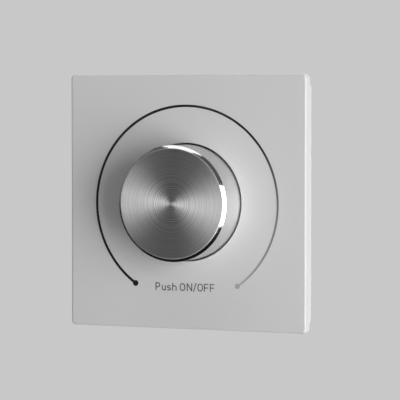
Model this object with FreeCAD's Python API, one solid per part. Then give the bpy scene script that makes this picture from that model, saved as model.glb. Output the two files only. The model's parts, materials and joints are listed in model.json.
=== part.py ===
import FreeCAD, Part
import math
import os

# Rotary dimmer switch with a push on/off knob, for a square wall box.
#
# Millimetres, +Z up. The wall is the plane y = 0, and the front looks along -Y.
# The origin lies on the wall plane, on the knob's axis, midway between the two
# wall screws. Depths are worked out as a stack of named thicknesses, from the
# wall plane forwards to the knob's face and backwards to the wire terminals.

# Plate and mounting frame
PLATE_W = 86.0
PLATE_CORNER_R = 1.2
PLATE_EDGE = 0.45
PLATE_DEPTH = 3.6
PLATE_WALL = 1.8
SKIRT_WALL = 1.5
RIB_W = 0.9
RIB_H = 0.8
RIM_DEPTH = 1.6
FRAME_CORNER_R = 5.0
FRAME_HOLE_GAP = 0.9
UPSTAND_GAP = 0.2
UPSTAND_WALL = 1.2
UPSTAND_H = 1.3
UPSTAND_END = 7.0

# Snap legs of the plate, and their windows in the frame
LEG_T = 1.2
LEG_W = 7.0
LEG_INSET = 3.1
LEG_OFFSET = 22.0
LEG_END_GAP = 0.35
HOOK_OUT = 0.6
HOOK_H = 0.6
LEDGE_T = 0.55
LEG_GAP = 0.25

# Slots for the two wall screws
SCREW_SPACING = 60.3
SLOT_R = 2.25
SLOT_L = 8.0
SLOT_FLOOR = 1.0
POCKET_ROOM = 2.4
HEAD_RELIEF = 0.3

# Knob
KNOB_R = 19.48
KNOB_CHAMFER_W = 1.06
KNOB_CHAMFER_D = 0.9
KNOB_PROUD = 12.89
KNOB_SINK = 1.5
KNOB_GAP = 0.57
CAP_WALL = 1.1
CAP_FRONT = 1.4
CORE_GAP = 0.05
HUB_R = 5.0
HUB_DEPTH = 8.0
HUB_SLOT_W = 0.8
HUB_SLOT_D = 4.5
CORE_RIBS = 4
CORE_RIB_T = 1.6
CORE_RIB_D = 6.5
BORE_END = 0.9

# Shaft
SHAFT_R = 3.0
SHAFT_FLAT = 1.5
TAIL_R = 2.0
TAIL_FLAT = 1.4
SLIDE_GAP = 0.05
RUN_GAP = 0.03
END_PLAY = 0.1
RING_T = 0.6
RING_R = 4.6
RING_GROOVE = 0.6
RING_OPEN = 55.0
SHOULDER = 0.3

# Push and turn
PUSH_TRAVEL = 2.0
TURN_HALF = 145.7

# Potentiometer
BUSH_R = 3.5
BUSH_PROUD = 6.0
BUSH_GAP = 0.1
THREAD_GAP = 0.02
FLANGE_T = 1.2
FLANGE_W = 16.4
LUG_W = 1.6
LUG_H = 1.1
LUG_AT = 6.6
NUT_T = 2.2
NUT_AF = 10.0
POT_WALL = 0.7
ROTOR_R = 6.0
ROTOR_T = 2.2
ROTOR_BOSS_R = 3.5
RAIL_W = 1.0
RAIL_L = 7.0
STOP_H = 1.2
STOP_LUG_HALF = 12.0
STOP_PLAY = 0.3
WIPER_T = 0.2
WIPER_BUMP = 0.3
WIPER_W = 1.2
TRACK_T = 0.8
CONTACT_GAP = 0.1
PIN_W = 1.0
PIN_T = 0.4
PIN_PITCH = 5.0
PIN_DROP = 0.6

# Push switch
SWITCH_W = 14.0
SWITCH_WALL = 1.0
PLUNGER_W = 7.0
PLUNGER_L = 4.8
GUIDE_W = 2.4
STRIP_T = 0.4
STRIP_W = 2.6
TIP_W = 2.0
TIP_H = 0.3
TIP_AT = 4.6
SPRING_R = 1.9
SPRING_WIRE = 0.4
SPRING_TURNS = 4
SPRING_RUNS = 12
SPRING_POCKET = 3.2
SPRING_GAP = 0.3
LATCH_R = 0.25
LATCH_GAP = 0.08
LATCH_RISE = 0.7
LATCH_DIP = 0.6
LATCH_SWAY = 1.1
LATCH_HOLD = 1.4
LATCH_TIP = 2.9
LATCH_PIVOT = 0.8
LATCH_SEAT = 0.75
TRACK_DEEP = 0.8

# Heat sink and triac
SINK_T = 1.5
SINK_INSET = 0.5
SINK_CORNER_R = 2.5
SINK_TAB_W = 24.0
SINK_TAB_L = 14.5
SINK_RELIEF = 0.8
TRIAC_W = 10.0
TRIAC_T = 4.5
TRIAC_BODY_L = 9.2
TRIAC_TAB_L = 6.3
TRIAC_TAB_T = 1.3
TRIAC_LIFT = 0.5
TRIAC_HOLE_R = 1.8
LEAD_PITCH = 2.54
LEAD_INSET = 2.7
LEAD_W = 0.6

# Circuit board and what stands on it
BOARD_T = 1.6
BOARD_GAP = 0.3
LEAD_PROUD = 1.0
CAP_X = 6.0
CAP_Z = 13.0
CAP_H = 11.0
CHOKE_X = 10.0
CHOKE_Z = 5.0
CHOKE_H = 11.0
CHOKE_LIMB = 1.7
CHOKE_WOUND = 1.6
FUSE_X = 8.4
FUSE_Z = 4.0
FUSE_H = 7.7
SMALL_CAP_X = 7.2
SMALL_CAP_Z = 2.5
SMALL_CAP_H = 6.5
RESISTOR_X = 3.2
RESISTOR_Z = 1.6
RESISTOR_H = 0.6
RESISTORS = 3
DIAC_R = 0.95
DIAC_L = 4.2
EDGE_ROOM = 2.5

# Terminals
POLE_PITCH = 8.2
BLOCK_WALL = 1.2
BLOCK_DEPTH = 9.4
BLOCK_PROUD = 1.0
BLOCK_GAP = 0.2
ENTRY_R = 1.6
ENTRY_WALL = 2.4
CAGE_W = 5.4
CAGE_L = 5.4
CAGE_WALL = 0.8
CAGE_GAP = 0.2
CAGE_H = 7.2
HEAD_ROOM = 1.9
SCREW_M_R = 1.7
SCREW_HEAD_R = 2.0
SCREW_HEAD_H = 1.7
DRIVE_W = 0.7
DRIVE_D = 0.8

# Rear housing and its screws
BOX_W = 50.0
BOX_WALL = 1.5
BOX_CORNER_R = 3.0
BOX_FLOOR = 1.5
TOWER_R = 2.9
TOWER_INSET = 4.2
LEDGE_W = 8.0
LEDGE_OUT = 2.0
HS_R = 1.45
HS_HEAD_R = 2.8
HS_HEAD_H = 1.6
HS_LENGTH = 11.0
HS_FREE = 0.25
VENT_W = 1.4
VENT_L = 22.0
VENT_PITCH = 3.6
VENTS = 5

# Depth planes in front of the wall
RIM_Y = -RIM_DEPTH
FACE_Y = RIM_Y - PLATE_DEPTH
PLATE_INNER_Y = FACE_Y + PLATE_WALL
KNOB_Y = FACE_Y - KNOB_PROUD
KNOB_REAR_Y = FACE_Y + KNOB_SINK
CORE_Y = KNOB_Y + CAP_FRONT
HUB_END_Y = CORE_Y + HUB_DEPTH
BORE_END_Y = CORE_Y + BORE_END
BUSH_Y = -BUSH_PROUD

# Depth planes behind the wall
SINK_Y = SINK_T
FLANGE_Y = SINK_Y + FLANGE_T
RING_Y = FLANGE_Y + END_PLAY
SHOULDER_Y = RING_Y + RING_T + SHOULDER
ROTOR_Y = SHOULDER_Y + PUSH_TRAVEL + END_PLAY
WIPER_Y = ROTOR_Y + ROTOR_T
TRACK_Y = WIPER_Y + WIPER_T + WIPER_BUMP + CONTACT_GAP
SWITCH_Y = TRACK_Y + TRACK_T
PLUNGER_Y = SWITCH_Y + SWITCH_WALL + END_PLAY
BRIDGE_Y = PLUNGER_Y + PLUNGER_L
FIXED_Y = BRIDGE_Y + STRIP_T + TIP_H + PUSH_TRAVEL + CONTACT_GAP
SWITCH_FLOOR_Y = FIXED_Y + TIP_H + STRIP_T
BOARD_Y = SWITCH_FLOOR_Y + SWITCH_WALL
SOLDER_Y = BOARD_Y + BOARD_T
FLOOR_Y = SOLDER_Y + BLOCK_DEPTH - BLOCK_PROUD - BOX_FLOOR
BOX_Y = FLOOR_Y + BOX_FLOOR
BLOCK_Y = BOX_Y + BLOCK_PROUD

# Sizes that follow from the ones above
PLATE_HALF = PLATE_W / 2
HOLE_R = KNOB_R + KNOB_GAP
FRAME_HOLE_R = HOLE_R + FRAME_HOLE_GAP
LEG_OUT = PLATE_HALF - SKIRT_WALL - UPSTAND_GAP - UPSTAND_WALL - LEG_INSET + LEG_T
BOX_HALF = BOX_W / 2
BOX_IN = BOX_HALF - BOX_WALL
TOWER_AT = BOX_HALF - TOWER_INSET
CORE_R = KNOB_R - CAP_WALL - CORE_GAP
POT_HALF = FLANGE_W / 2
POT_IN = POT_HALF - POT_WALL
TAIL_END_Y = PLUNGER_Y - SLIDE_GAP
SINK_TAB_Z = BOX_IN - BOARD_GAP - SINK_T
SCREW_Y = SOLDER_Y + BLOCK_WALL + CAGE_GAP + CAGE_L / 2
BLOCK_LOW_Z = -BOX_IN + BLOCK_GAP
CAGE_LOW_Z = BLOCK_LOW_Z + HEAD_ROOM
CAGE_TOP_Z = CAGE_LOW_Z + CAGE_H
BLOCK_TOP_Z = CAGE_TOP_Z + BLOCK_WALL
WIRE_Z = CAGE_TOP_Z - CAGE_WALL - ENTRY_R


def vec(x, y, z):
    return FreeCAD.Vector(x, y, z)


def block(x0, x1, y0, y1, z0, z1):
    """Box between two corners."""
    return Part.makeBox(x1 - x0, y1 - y0, z1 - z0, vec(x0, y0, z0))


def rod(radius, y0, y1, x=0.0, z=0.0):
    """Cylinder along Y."""
    return Part.makeCylinder(radius, y1 - y0, vec(x, y0, z), vec(0, 1, 0))


def post(radius, z0, z1, x, y):
    """Cylinder along Z."""
    return Part.makeCylinder(radius, z1 - z0, vec(x, y, z0))


def tube(inner, outer, y0, y1):
    """Ring about the knob's axis."""
    return rod(outer, y0, y1).cut(rod(inner, y0, y1))


def pad(half, corner, y0, y1):
    """Square slab about the axis with its four corners rounded."""
    slab = block(-half, half, y0, y1, -half, half)
    upright = [e for e in slab.Edges if abs(e.Vertexes[0].Y - e.Vertexes[-1].Y) > (y1 - y0) / 2]
    return slab.makeFillet(corner, upright)


def turned(profile):
    """Solid of revolution about the knob's axis from (radius, y) points."""
    points = [vec(r, y, 0) for r, y in profile]
    face = Part.Face(Part.makePolygon(points + points[:1]))
    return face.revolve(vec(0, 0, 0), vec(0, 1, 0), 360)


def sector(inner, outer, y0, y1, middle, half):
    """Piece of a ring. The angle is 0 straight up and grows clockwise seen from the front."""
    points = [vec(inner, y0, 0), vec(outer, y0, 0), vec(outer, y1, 0), vec(inner, y1, 0)]
    face = Part.Face(Part.makePolygon(points + points[:1]))
    piece = face.revolve(vec(0, 0, 0), vec(0, 1, 0), 2 * half)
    piece.rotate(vec(0, 0, 0), vec(0, 1, 0), -90 + middle - half)
    return piece


def slot(x, z, length, radius, y0, y1):
    """Round-ended slot along X, given end to end."""
    reach = length / 2 - radius
    middle = block(x - reach, x + reach, y0, y1, z - radius, z + radius)
    ends = [rod(radius, y0, y1, x - reach, z), rod(radius, y0, y1, x + reach, z)]
    return middle.fuse(ends).removeSplitter()


def centred(x, z, wide, high, y0, y1):
    """Box along Y centred on (x, z)."""
    return block(x - wide / 2, x + wide / 2, y0, y1, z - high / 2, z + high / 2)


def turn_about_axis(shape, angle):
    """Copy of a shape turned about the knob's axis."""
    copy = shape.copy()
    copy.rotate(vec(0, 0, 0), vec(0, 1, 0), angle)
    return copy


def tower_places():
    """The two opposite corners where screws join frame, heat sink and housing."""
    return [(-TOWER_AT, -TOWER_AT), (TOWER_AT, TOWER_AT)]


def corner_post(radius, y0, y1, x, z):
    """Round post that is solid out to the box's corner behind it."""
    outer = BOX_HALF
    xs = sorted((x, math.copysign(outer, x)))
    zs = sorted((z, math.copysign(outer, z)))
    return rod(radius, y0, y1, x, z).fuse(block(xs[0], xs[1], y0, y1, zs[0], zs[1]))


def leg_places():
    """Turns about the axis and offsets along a side for the snap legs, two on each upright side."""
    return [(turn, along) for turn in (0, 180) for along in (-LEG_OFFSET, LEG_OFFSET)]


def save(name, shape):
    shape.exportStep("parts/" + name + ".step")


def snap_leg(along):
    """Leg with a hook that snaps behind the frame's ledge, on the +X side of the plate."""
    tip = -LEG_END_GAP
    hook_y = tip - HOOK_H
    outline = [
        (LEG_OUT - LEG_T, PLATE_INNER_Y),
        (LEG_OUT, PLATE_INNER_Y),
        (LEG_OUT, hook_y),
        (LEG_OUT + HOOK_OUT, hook_y),
        (LEG_OUT, tip),
        (LEG_OUT - LEG_T, tip),
    ]
    points = [vec(x, y, along - LEG_W / 2) for x, y in outline]
    return Part.Face(Part.makePolygon(points + points[:1])).extrude(vec(0, 0, LEG_W))


def screw_pocket(side, y0, y1):
    """Room for the head of one wall screw, over its slot."""
    length = SLOT_L + 2 * POCKET_ROOM
    return centred(side * SCREW_SPACING / 2, 0, length, 2 * (SLOT_R + POCKET_ROOM), y0, y1)


def front_plate():
    """Moulded plate: soft front edge, skirt, stiffening rib, room for the wall screws' heads, snap legs."""
    shell = pad(PLATE_HALF, PLATE_CORNER_R, FACE_Y, RIM_Y)
    rim = [e for e in shell.Edges if all(abs(v.Y - FACE_Y) < 1e-6 for v in e.Vertexes)]
    shell = shell.makeChamfer(PLATE_EDGE, rim)
    inner = PLATE_HALF - SKIRT_WALL
    shell = shell.cut(block(-inner, inner, PLATE_INNER_Y, RIM_Y, -inner, inner))
    rib_out = LEG_OUT - LEG_T - RIB_W
    rib_in = rib_out - RIB_W
    rib_y = PLATE_INNER_Y + RIB_H
    rib = block(-rib_out, rib_out, PLATE_INNER_Y, rib_y, -rib_out, rib_out)
    rib = rib.cut(block(-rib_in, rib_in, PLATE_INNER_Y, rib_y, -rib_in, rib_in))
    legs = [turn_about_axis(snap_leg(along), turn) for turn, along in leg_places()]
    plate = shell.fuse([rib] + legs)
    plate = plate.cut(rod(HOLE_R, FACE_Y, RIM_Y))
    for side in (-1, 1):
        plate = plate.cut(screw_pocket(side, PLATE_INNER_Y - HEAD_RELIEF, rib_y))
    return plate.removeSplitter()


def leg_window(along):
    """Window for one snap leg: narrow at the ledge, wider behind it for the hook."""
    low = along - LEG_W / 2 - LEG_GAP
    high = along + LEG_W / 2 + LEG_GAP
    ledge_y = RIM_Y + LEDGE_T
    narrow = block(LEG_OUT - LEG_T - LEG_GAP, LEG_OUT + LEG_GAP / 2, RIM_Y, ledge_y, low, high)
    wide_x = LEG_OUT + HOOK_OUT + LEG_GAP
    wide = block(LEG_OUT - LEG_T - LEG_GAP, wide_x, ledge_y, 0, low, high)
    return narrow.fuse(wide)


def mounting_frame():
    """Moulded frame that rests on the wall: rim, upstands inside the plate's skirt, slots and windows."""
    frame = pad(PLATE_HALF, FRAME_CORNER_R, RIM_Y, 0)
    out = PLATE_HALF - SKIRT_WALL - UPSTAND_GAP
    reach = out - UPSTAND_END
    upstand = block(out - UPSTAND_WALL, out, RIM_Y - UPSTAND_H, RIM_Y, -reach, reach)
    frame = frame.fuse([turn_about_axis(upstand, turn) for turn in (0, 90, 180, 270)])
    frame = frame.cut(rod(FRAME_HOLE_R, RIM_Y, 0))
    for x, z in tower_places():
        frame = frame.cut(rod(HS_R + HS_FREE, RIM_Y, 0, x, z))
    for side in (-1, 1):
        frame = frame.cut(screw_pocket(side, RIM_Y, -SLOT_FLOOR))
        frame = frame.cut(slot(side * SCREW_SPACING / 2, 0, SLOT_L, SLOT_R, -SLOT_FLOOR, 0))
    for turn, along in leg_places():
        frame = frame.cut(turn_about_axis(leg_window(along), turn))
    return frame.removeSplitter()


def knob_cap():
    """Turned cup: flat face, chamfer, straight side that dips into the plate's hole."""
    inner = KNOB_R - CAP_WALL
    return turned([
        (0, KNOB_Y),
        (KNOB_R - KNOB_CHAMFER_W, KNOB_Y),
        (KNOB_R, KNOB_Y + KNOB_CHAMFER_D),
        (KNOB_R, KNOB_REAR_Y),
        (inner, KNOB_REAR_Y),
        (inner, CORE_Y),
        (0, CORE_Y),
    ])


def d_rod(radius, flat, y0, y1):
    """Rod with one flat, on its upper side."""
    return rod(radius, y0, y1).common(block(-radius, radius, y0, y1, -radius, flat))


def two_flat_rod(radius, flat, y0, y1):
    """Rod with two flats, above and below."""
    return rod(radius, y0, y1).common(block(-radius, radius, y0, y1, -flat, flat))


def knob_core():
    """Moulded insert: four ribs that grip the cup's wall, and a split hub with a D bore."""
    hub = rod(HUB_R, CORE_Y, HUB_END_Y)
    half = CORE_RIB_T / 2
    reach = math.sqrt(CORE_R ** 2 - half ** 2)
    rib = block(HUB_R / 2, reach, CORE_Y, CORE_Y + CORE_RIB_D, -half, half)
    step = 360 / CORE_RIBS
    body = hub.fuse([turn_about_axis(rib, step / 2 + i * step) for i in range(CORE_RIBS)])
    body = body.cut(d_rod(SHAFT_R + RUN_GAP, SHAFT_FLAT + RUN_GAP, BORE_END_Y, HUB_END_Y))
    body = body.cut(centred(0, 0, HUB_SLOT_W, 2 * HUB_R, HUB_END_Y - HUB_SLOT_D, HUB_END_Y))
    return body.removeSplitter()


def open_ring(inner, outer, y0, y1, opening):
    """Flat ring with an opening at the bottom."""
    return sector(inner, outer, y0, y1, 0, 180 - opening / 2)


def shaft():
    """D end in the hub, round in the bushing, a groove for the ring, two flats in the rotor."""
    front = BORE_END_Y + END_PLAY
    d_end = d_rod(SHAFT_R, SHAFT_FLAT, front, HUB_END_Y)
    body = rod(SHAFT_R, HUB_END_Y, SHOULDER_Y)
    tail = two_flat_rod(TAIL_R, TAIL_FLAT, SHOULDER_Y, TAIL_END_Y)
    groove = tube(SHAFT_R - RING_GROOVE, SHAFT_R, RING_Y, RING_Y + RING_T)
    return d_end.fuse([body, tail]).cut(groove).removeSplitter()


def shaft_ring():
    """Retaining ring in the shaft's groove, behind the bushing."""
    return open_ring(SHAFT_R - RING_GROOVE, RING_R, RING_Y, RING_Y + RING_T, RING_OPEN)


def pot_bushing():
    """Bushing, square flange, locating lug, and two rails that the rotor runs against."""
    flange = centred(0, 0, FLANGE_W, FLANGE_W, SINK_Y, FLANGE_Y)
    barrel = rod(BUSH_R, BUSH_Y, FLANGE_Y)
    lug = centred(0, LUG_AT, LUG_W, LUG_W, SINK_Y - LUG_H, SINK_Y)
    rail_at = RING_R + SLIDE_GAP + RAIL_W / 2
    rails = [centred(x, 0, RAIL_W, RAIL_L, FLANGE_Y, ROTOR_Y - END_PLAY) for x in (-rail_at, rail_at)]
    body = flange.fuse([barrel, lug] + rails)
    return body.cut(rod(SHAFT_R + RUN_GAP, BUSH_Y, FLANGE_Y)).removeSplitter()


def pot_nut():
    """Hexagon nut that clamps the bushing on the heat sink."""
    points = []
    for i in range(7):
        angle = math.radians(60 * i)
        reach = NUT_AF / math.sqrt(3)
        points.append(vec(reach * math.cos(angle), -NUT_T, reach * math.sin(angle)))
    prism = Part.Face(Part.makePolygon(points)).extrude(vec(0, NUT_T, 0))
    return prism.cut(rod(BUSH_R + THREAD_GAP, -NUT_T, 0))


def stop_nib_half():
    """Half angle of the fixed stop that leaves the rotor its travel each way."""
    return 180 - TURN_HALF - STOP_LUG_HALF - STOP_PLAY


def lug_tip_r():
    """Reach of the rotor's stop lug, just clear of the case."""
    return POT_IN - END_PLAY


def pot_case():
    """Square moulded case between the flange and the track plate, with the end stop at the bottom."""
    case = centred(0, 0, FLANGE_W, FLANGE_W, FLANGE_Y, TRACK_Y)
    case = case.cut(centred(0, 0, 2 * POT_IN, 2 * POT_IN, FLANGE_Y, TRACK_Y))
    half = math.radians(stop_nib_half())
    inner = lug_tip_r() - STOP_H
    lean = math.tan(half)
    outline = [
        (-inner * lean, -inner),
        (inner * lean, -inner),
        (POT_IN * lean, -POT_IN),
        (-POT_IN * lean, -POT_IN),
    ]
    points = [vec(x, ROTOR_Y, z) for x, z in outline]
    nib = Part.Face(Part.makePolygon(points + points[:1])).extrude(vec(0, ROTOR_T, 0))
    return case.fuse(nib).removeSplitter()


def pot_rotor():
    """Rotor with the two-flat bore, the bearing boss and the stop lug."""
    body = rod(ROTOR_R, ROTOR_Y, WIPER_Y)
    boss = rod(ROTOR_BOSS_R, WIPER_Y, SWITCH_Y)
    lug = sector(ROTOR_R / 2, lug_tip_r(), ROTOR_Y, WIPER_Y, 0, STOP_LUG_HALF)
    body = body.fuse([boss, lug])
    bore = two_flat_rod(TAIL_R + SLIDE_GAP, TAIL_FLAT + SLIDE_GAP, ROTOR_Y, SWITCH_Y)
    return body.cut(bore).removeSplitter()


def wiper():
    """Sprung strip on the rotor, with a tip that runs on the track."""
    half = WIPER_W / 2
    root = ROTOR_BOSS_R + SLIDE_GAP
    strip = block(-half, half, WIPER_Y, WIPER_Y + WIPER_T, root, ROTOR_R)
    tip = block(-half, half, WIPER_Y, WIPER_Y + WIPER_T + WIPER_BUMP, ROTOR_R - WIPER_W, ROTOR_R)
    return strip.fuse(tip).removeSplitter()


def pin_places():
    return [-PIN_PITCH, 0.0, PIN_PITCH]


def track_plate():
    """Plate that closes the case: bearing hole for the rotor, a foot for the three pins."""
    plate = centred(0, 0, FLANGE_W, FLANGE_W, TRACK_Y, SWITCH_Y)
    foot_half = PIN_PITCH + PIN_W
    foot = block(-foot_half, foot_half, TRACK_Y, SWITCH_Y, -POT_HALF - PIN_DROP, -POT_HALF / 2)
    body = plate.fuse(foot)
    return body.cut(rod(ROTOR_BOSS_R + SLIDE_GAP, TRACK_Y, SWITCH_Y)).removeSplitter()


def terminal_pin_z():
    return -POT_HALF - PIN_DROP + PIN_T


def track_terminals():
    """Three flat pins, from the back of the plate's foot straight into the board."""
    z = terminal_pin_z()
    end = SOLDER_Y + LEAD_PROUD
    return Part.makeCompound([centred(x, z, PIN_W, PIN_T, SWITCH_Y, end) for x in pin_places()])


def latch_points():
    """Places of the latch pin's tip in the plunger: at rest, pressed, held, pressed on the way out."""
    pivot_y = SWITCH_FLOOR_Y - LATCH_PIVOT
    rest_y = PLUNGER_Y + LATCH_TIP
    arm = pivot_y - rest_y
    swing = math.asin(LATCH_SWAY / arm)
    pressed_y = pivot_y - arm * math.cos(swing) - PUSH_TRAVEL
    held_y = rest_y - LATCH_HOLD
    return [(0, rest_y), (-LATCH_SWAY, pressed_y), (0, held_y), (LATCH_SWAY, pressed_y)]


def lane(start, end, radius, z0, z1):
    """Groove between two points, round at both ends."""
    (x0, y0), (x1, y1) = start, end
    length = math.hypot(x1 - x0, y1 - y0)
    strip = block(0, length, -radius, radius, z0, z1)
    strip.rotate(vec(0, 0, 0), vec(0, 0, 1), math.degrees(math.atan2(y1 - y0, x1 - x0)))
    strip.translate(vec(x0, y0, 0))
    return strip.fuse([post(radius, z0, z1, x0, y0), post(radius, z0, z1, x1, y1)])


def switch_plunger():
    """Sliding block with the spring's pocket behind and the heart-shaped track on top."""
    half = PLUNGER_W / 2
    body = block(-half, half, PLUNGER_Y, BRIDGE_Y, -half, half)
    pocket = rod(spring_room_r(), BRIDGE_Y - SPRING_POCKET, BRIDGE_Y)
    body = body.cut(pocket)
    points = latch_points()
    for start, end in zip(points, points[1:] + points[:1]):
        body = body.cut(lane(start, end, LATCH_R + LATCH_GAP, half - TRACK_DEEP, half))
    return body.removeSplitter()


def latch_pin():
    """Bent wire: its upper end turns in the case, its lower end follows the heart-shaped track."""
    pivot_y = SWITCH_FLOOR_Y - LATCH_PIVOT
    tip_y = PLUNGER_Y + LATCH_TIP
    run_z = PLUNGER_W / 2 + LATCH_RISE
    top_z = SWITCH_W / 2 - SWITCH_WALL + LATCH_SEAT
    low_z = PLUNGER_W / 2 - LATCH_DIP
    ends_y = (tip_y - LATCH_R, pivot_y + LATCH_R)
    run = block(-LATCH_R, LATCH_R, ends_y[0], ends_y[1], run_z - LATCH_R, run_z + LATCH_R)
    pivot = post(LATCH_R, run_z, top_z, 0, pivot_y)
    tip = post(LATCH_R, low_z, run_z, 0, tip_y)
    return run.fuse([pivot, tip]).removeSplitter()


def spring_room_r():
    """Radius of the room that the spring needs."""
    return SPRING_R + SPRING_WIRE / 2 + SPRING_GAP


def moving_contact():
    """Bridge on the plunger's back, with a contact tip at each end and a hole for the spring."""
    y1 = BRIDGE_Y + STRIP_T
    strip = centred(0, 0, 2 * TIP_AT + TIP_W, STRIP_W, BRIDGE_Y, y1)
    middle = centred(0, 0, PLUNGER_W, PLUNGER_W, BRIDGE_Y, y1)
    tips = [centred(x, 0, TIP_W, TIP_W, y1, y1 + TIP_H) for x in (-TIP_AT, TIP_AT)]
    body = strip.fuse([middle] + tips)
    return body.cut(rod(spring_room_r(), BRIDGE_Y, y1)).removeSplitter()


def fixed_contacts():
    """Two strips on the case's floor, each with a contact tip and a pin into the board."""
    y0 = FIXED_Y + TIP_H
    pieces = []
    for x in (-TIP_AT, TIP_AT):
        strip = centred(x, 0, TIP_W, STRIP_W, y0, SWITCH_FLOOR_Y)
        tip = centred(x, 0, TIP_W, TIP_W, FIXED_Y, y0)
        pin = centred(x, 0, PIN_W, PIN_T, SWITCH_FLOOR_Y, SOLDER_Y + LEAD_PROUD)
        pieces.append(strip.fuse([tip, pin]).removeSplitter())
    return Part.makeCompound(pieces)


def spring_section(turn, y):
    """Corners of the wire's square section at one place of the coil."""
    angle = 2 * math.pi * turn
    corners = []
    for out, along in ((-1, -1), (1, -1), (1, 1), (-1, 1)):
        reach = SPRING_R + out * SPRING_WIRE / 2
        corners.append(vec(reach * math.cos(angle), y + along * SPRING_WIRE / 2, reach * math.sin(angle)))
    return corners


def triangle(a, b, c):
    return Part.Face(Part.makePolygon([a, b, c, a]))


def return_spring():
    """Coil of flat wire in short straight runs, from the plunger's pocket to the case's floor."""
    y0 = BRIDGE_Y - SPRING_POCKET + SPRING_WIRE / 2
    rise = SWITCH_FLOOR_Y - SPRING_WIRE / 2 - y0
    runs = SPRING_TURNS * SPRING_RUNS
    sections = [spring_section(i / SPRING_RUNS, y0 + rise * i / runs) for i in range(runs + 1)]
    faces = []
    for a, b in zip(sections, sections[1:]):
        for k in range(4):
            m = (k + 1) % 4
            faces.append(triangle(a[k], a[m], b[m]))
            faces.append(triangle(a[k], b[m], b[k]))
    for end in (sections[0], sections[-1]):
        faces.append(Part.Face(Part.makePolygon(end + end[:1])))
    shell = Part.makeShell(faces)
    shell.sewShape()
    return Part.makeSolid(Part.Shell(shell.Faces))


def switch_case():
    """Case of the push switch, with guides for the plunger and holes for shaft, pins and latch."""
    half = SWITCH_W / 2
    inner = half - SWITCH_WALL
    front_y = SWITCH_Y + SWITCH_WALL
    case = block(-half, half, SWITCH_Y, BOARD_Y, -half, half)
    case = case.cut(block(-inner, inner, front_y, SWITCH_FLOOR_Y, -inner, inner))
    side = PLUNGER_W / 2 + END_PLAY
    guide_end = BRIDGE_Y - END_PLAY
    guides = [
        block(side, inner, front_y, guide_end, -GUIDE_W / 2, GUIDE_W / 2),
        block(-inner, -side, front_y, guide_end, -GUIDE_W / 2, GUIDE_W / 2),
        block(-GUIDE_W / 2, GUIDE_W / 2, front_y, guide_end, -inner, -side),
    ]
    case = case.fuse(guides)
    case = case.cut(rod(TAIL_R + SPRING_GAP, SWITCH_Y, front_y))
    pivot_y = SWITCH_FLOOR_Y - LATCH_PIVOT
    case = case.cut(post(LATCH_R + SLIDE_GAP, inner, half, 0, pivot_y))
    wide = PIN_W + 2 * SLIDE_GAP
    high = PIN_T + 2 * SLIDE_GAP
    for x in (-TIP_AT, TIP_AT):
        case = case.cut(centred(x, 0, wide, high, SWITCH_FLOOR_Y, BOARD_Y))
    return case.removeSplitter()


def heat_sink():
    """Sheet folded once: the plate that carries the potentiometer, and a tab at the top for the triac."""
    half = BOX_HALF - SINK_INSET
    plate = pad(half, SINK_CORNER_R, 0, SINK_Y)
    tab_half = SINK_TAB_W / 2
    outer_z = SINK_TAB_Z + SINK_T
    notch_half = tab_half + SINK_RELIEF
    plate = plate.cut(block(-notch_half, notch_half, 0, SINK_Y, SINK_TAB_Z - SINK_T, half))
    tab = block(-tab_half, tab_half, 0, SINK_Y, SINK_TAB_Z - SINK_T, outer_z)
    tab = tab.fuse(block(-tab_half, tab_half, 0, SINK_Y + SINK_TAB_L, SINK_TAB_Z, outer_z)).removeSplitter()
    bend = [e for e in tab.Edges if all(abs(v.Y) < 1e-6 and abs(v.Z - outer_z) < 1e-6 for v in e.Vertexes)]
    tab = tab.makeFillet(SINK_T, bend)
    sink = plate.fuse(tab)
    sink = sink.cut(rod(BUSH_R + BUSH_GAP, 0, SINK_Y))
    lug_room = LUG_W + 2 * BUSH_GAP
    sink = sink.cut(centred(0, LUG_AT, lug_room, lug_room, 0, SINK_Y))
    for x, z in tower_places():
        sink = sink.cut(rod(HS_R + HS_FREE, 0, SINK_Y, x, z))
    hole = post(TRIAC_HOLE_R - HS_FREE, SINK_TAB_Z, outer_z, 0, triac_hole_y())
    return sink.cut(hole).removeSplitter()


def triac_body_y():
    """Front end of the triac's moulded body, which stops short of the board."""
    return BOARD_Y - TRIAC_LIFT - TRIAC_BODY_L


def triac_hole_y():
    return triac_body_y() - TRIAC_TAB_L / 2


def lead_places_triac():
    z = SINK_TAB_Z - LEAD_INSET
    return [(x, z) for x in (-LEAD_PITCH, 0.0, LEAD_PITCH)]


def triac_body():
    y0 = triac_body_y()
    half = TRIAC_W / 2
    return block(-half, half, y0, y0 + TRIAC_BODY_L, SINK_TAB_Z - TRIAC_T, SINK_TAB_Z - TRIAC_TAB_T)


def triac_tab():
    """Metal tab behind the moulded body with its screw hole, and three leads into the board."""
    y0 = triac_body_y()
    half = TRIAC_W / 2
    tab = block(-half, half, y0 - TRIAC_TAB_L, y0 + TRIAC_BODY_L, SINK_TAB_Z - TRIAC_TAB_T, SINK_TAB_Z)
    tab = tab.cut(post(TRIAC_HOLE_R, SINK_TAB_Z - TRIAC_TAB_T, SINK_TAB_Z, 0, triac_hole_y()))
    y1 = y0 + TRIAC_BODY_L
    leads = [centred(x, z, LEAD_W, LEAD_W, y1, SOLDER_Y + LEAD_PROUD) for x, z in lead_places_triac()]
    return Part.makeCompound([tab] + leads)


def screw_z(x, y, seat, end, radius, head_r, head_h):
    """Screw along +Z with its head below the seat, and a straight drive slot in the head."""
    shank = post(radius, seat, end, x, y)
    head = post(head_r, seat - head_h, seat, x, y)
    drive_y = (y - DRIVE_W / 2, y + DRIVE_W / 2)
    drive = block(x - head_r, x + head_r, *drive_y, seat - head_h, seat - head_h + DRIVE_D)
    return shank.fuse(head).cut(drive).removeSplitter()


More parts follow.
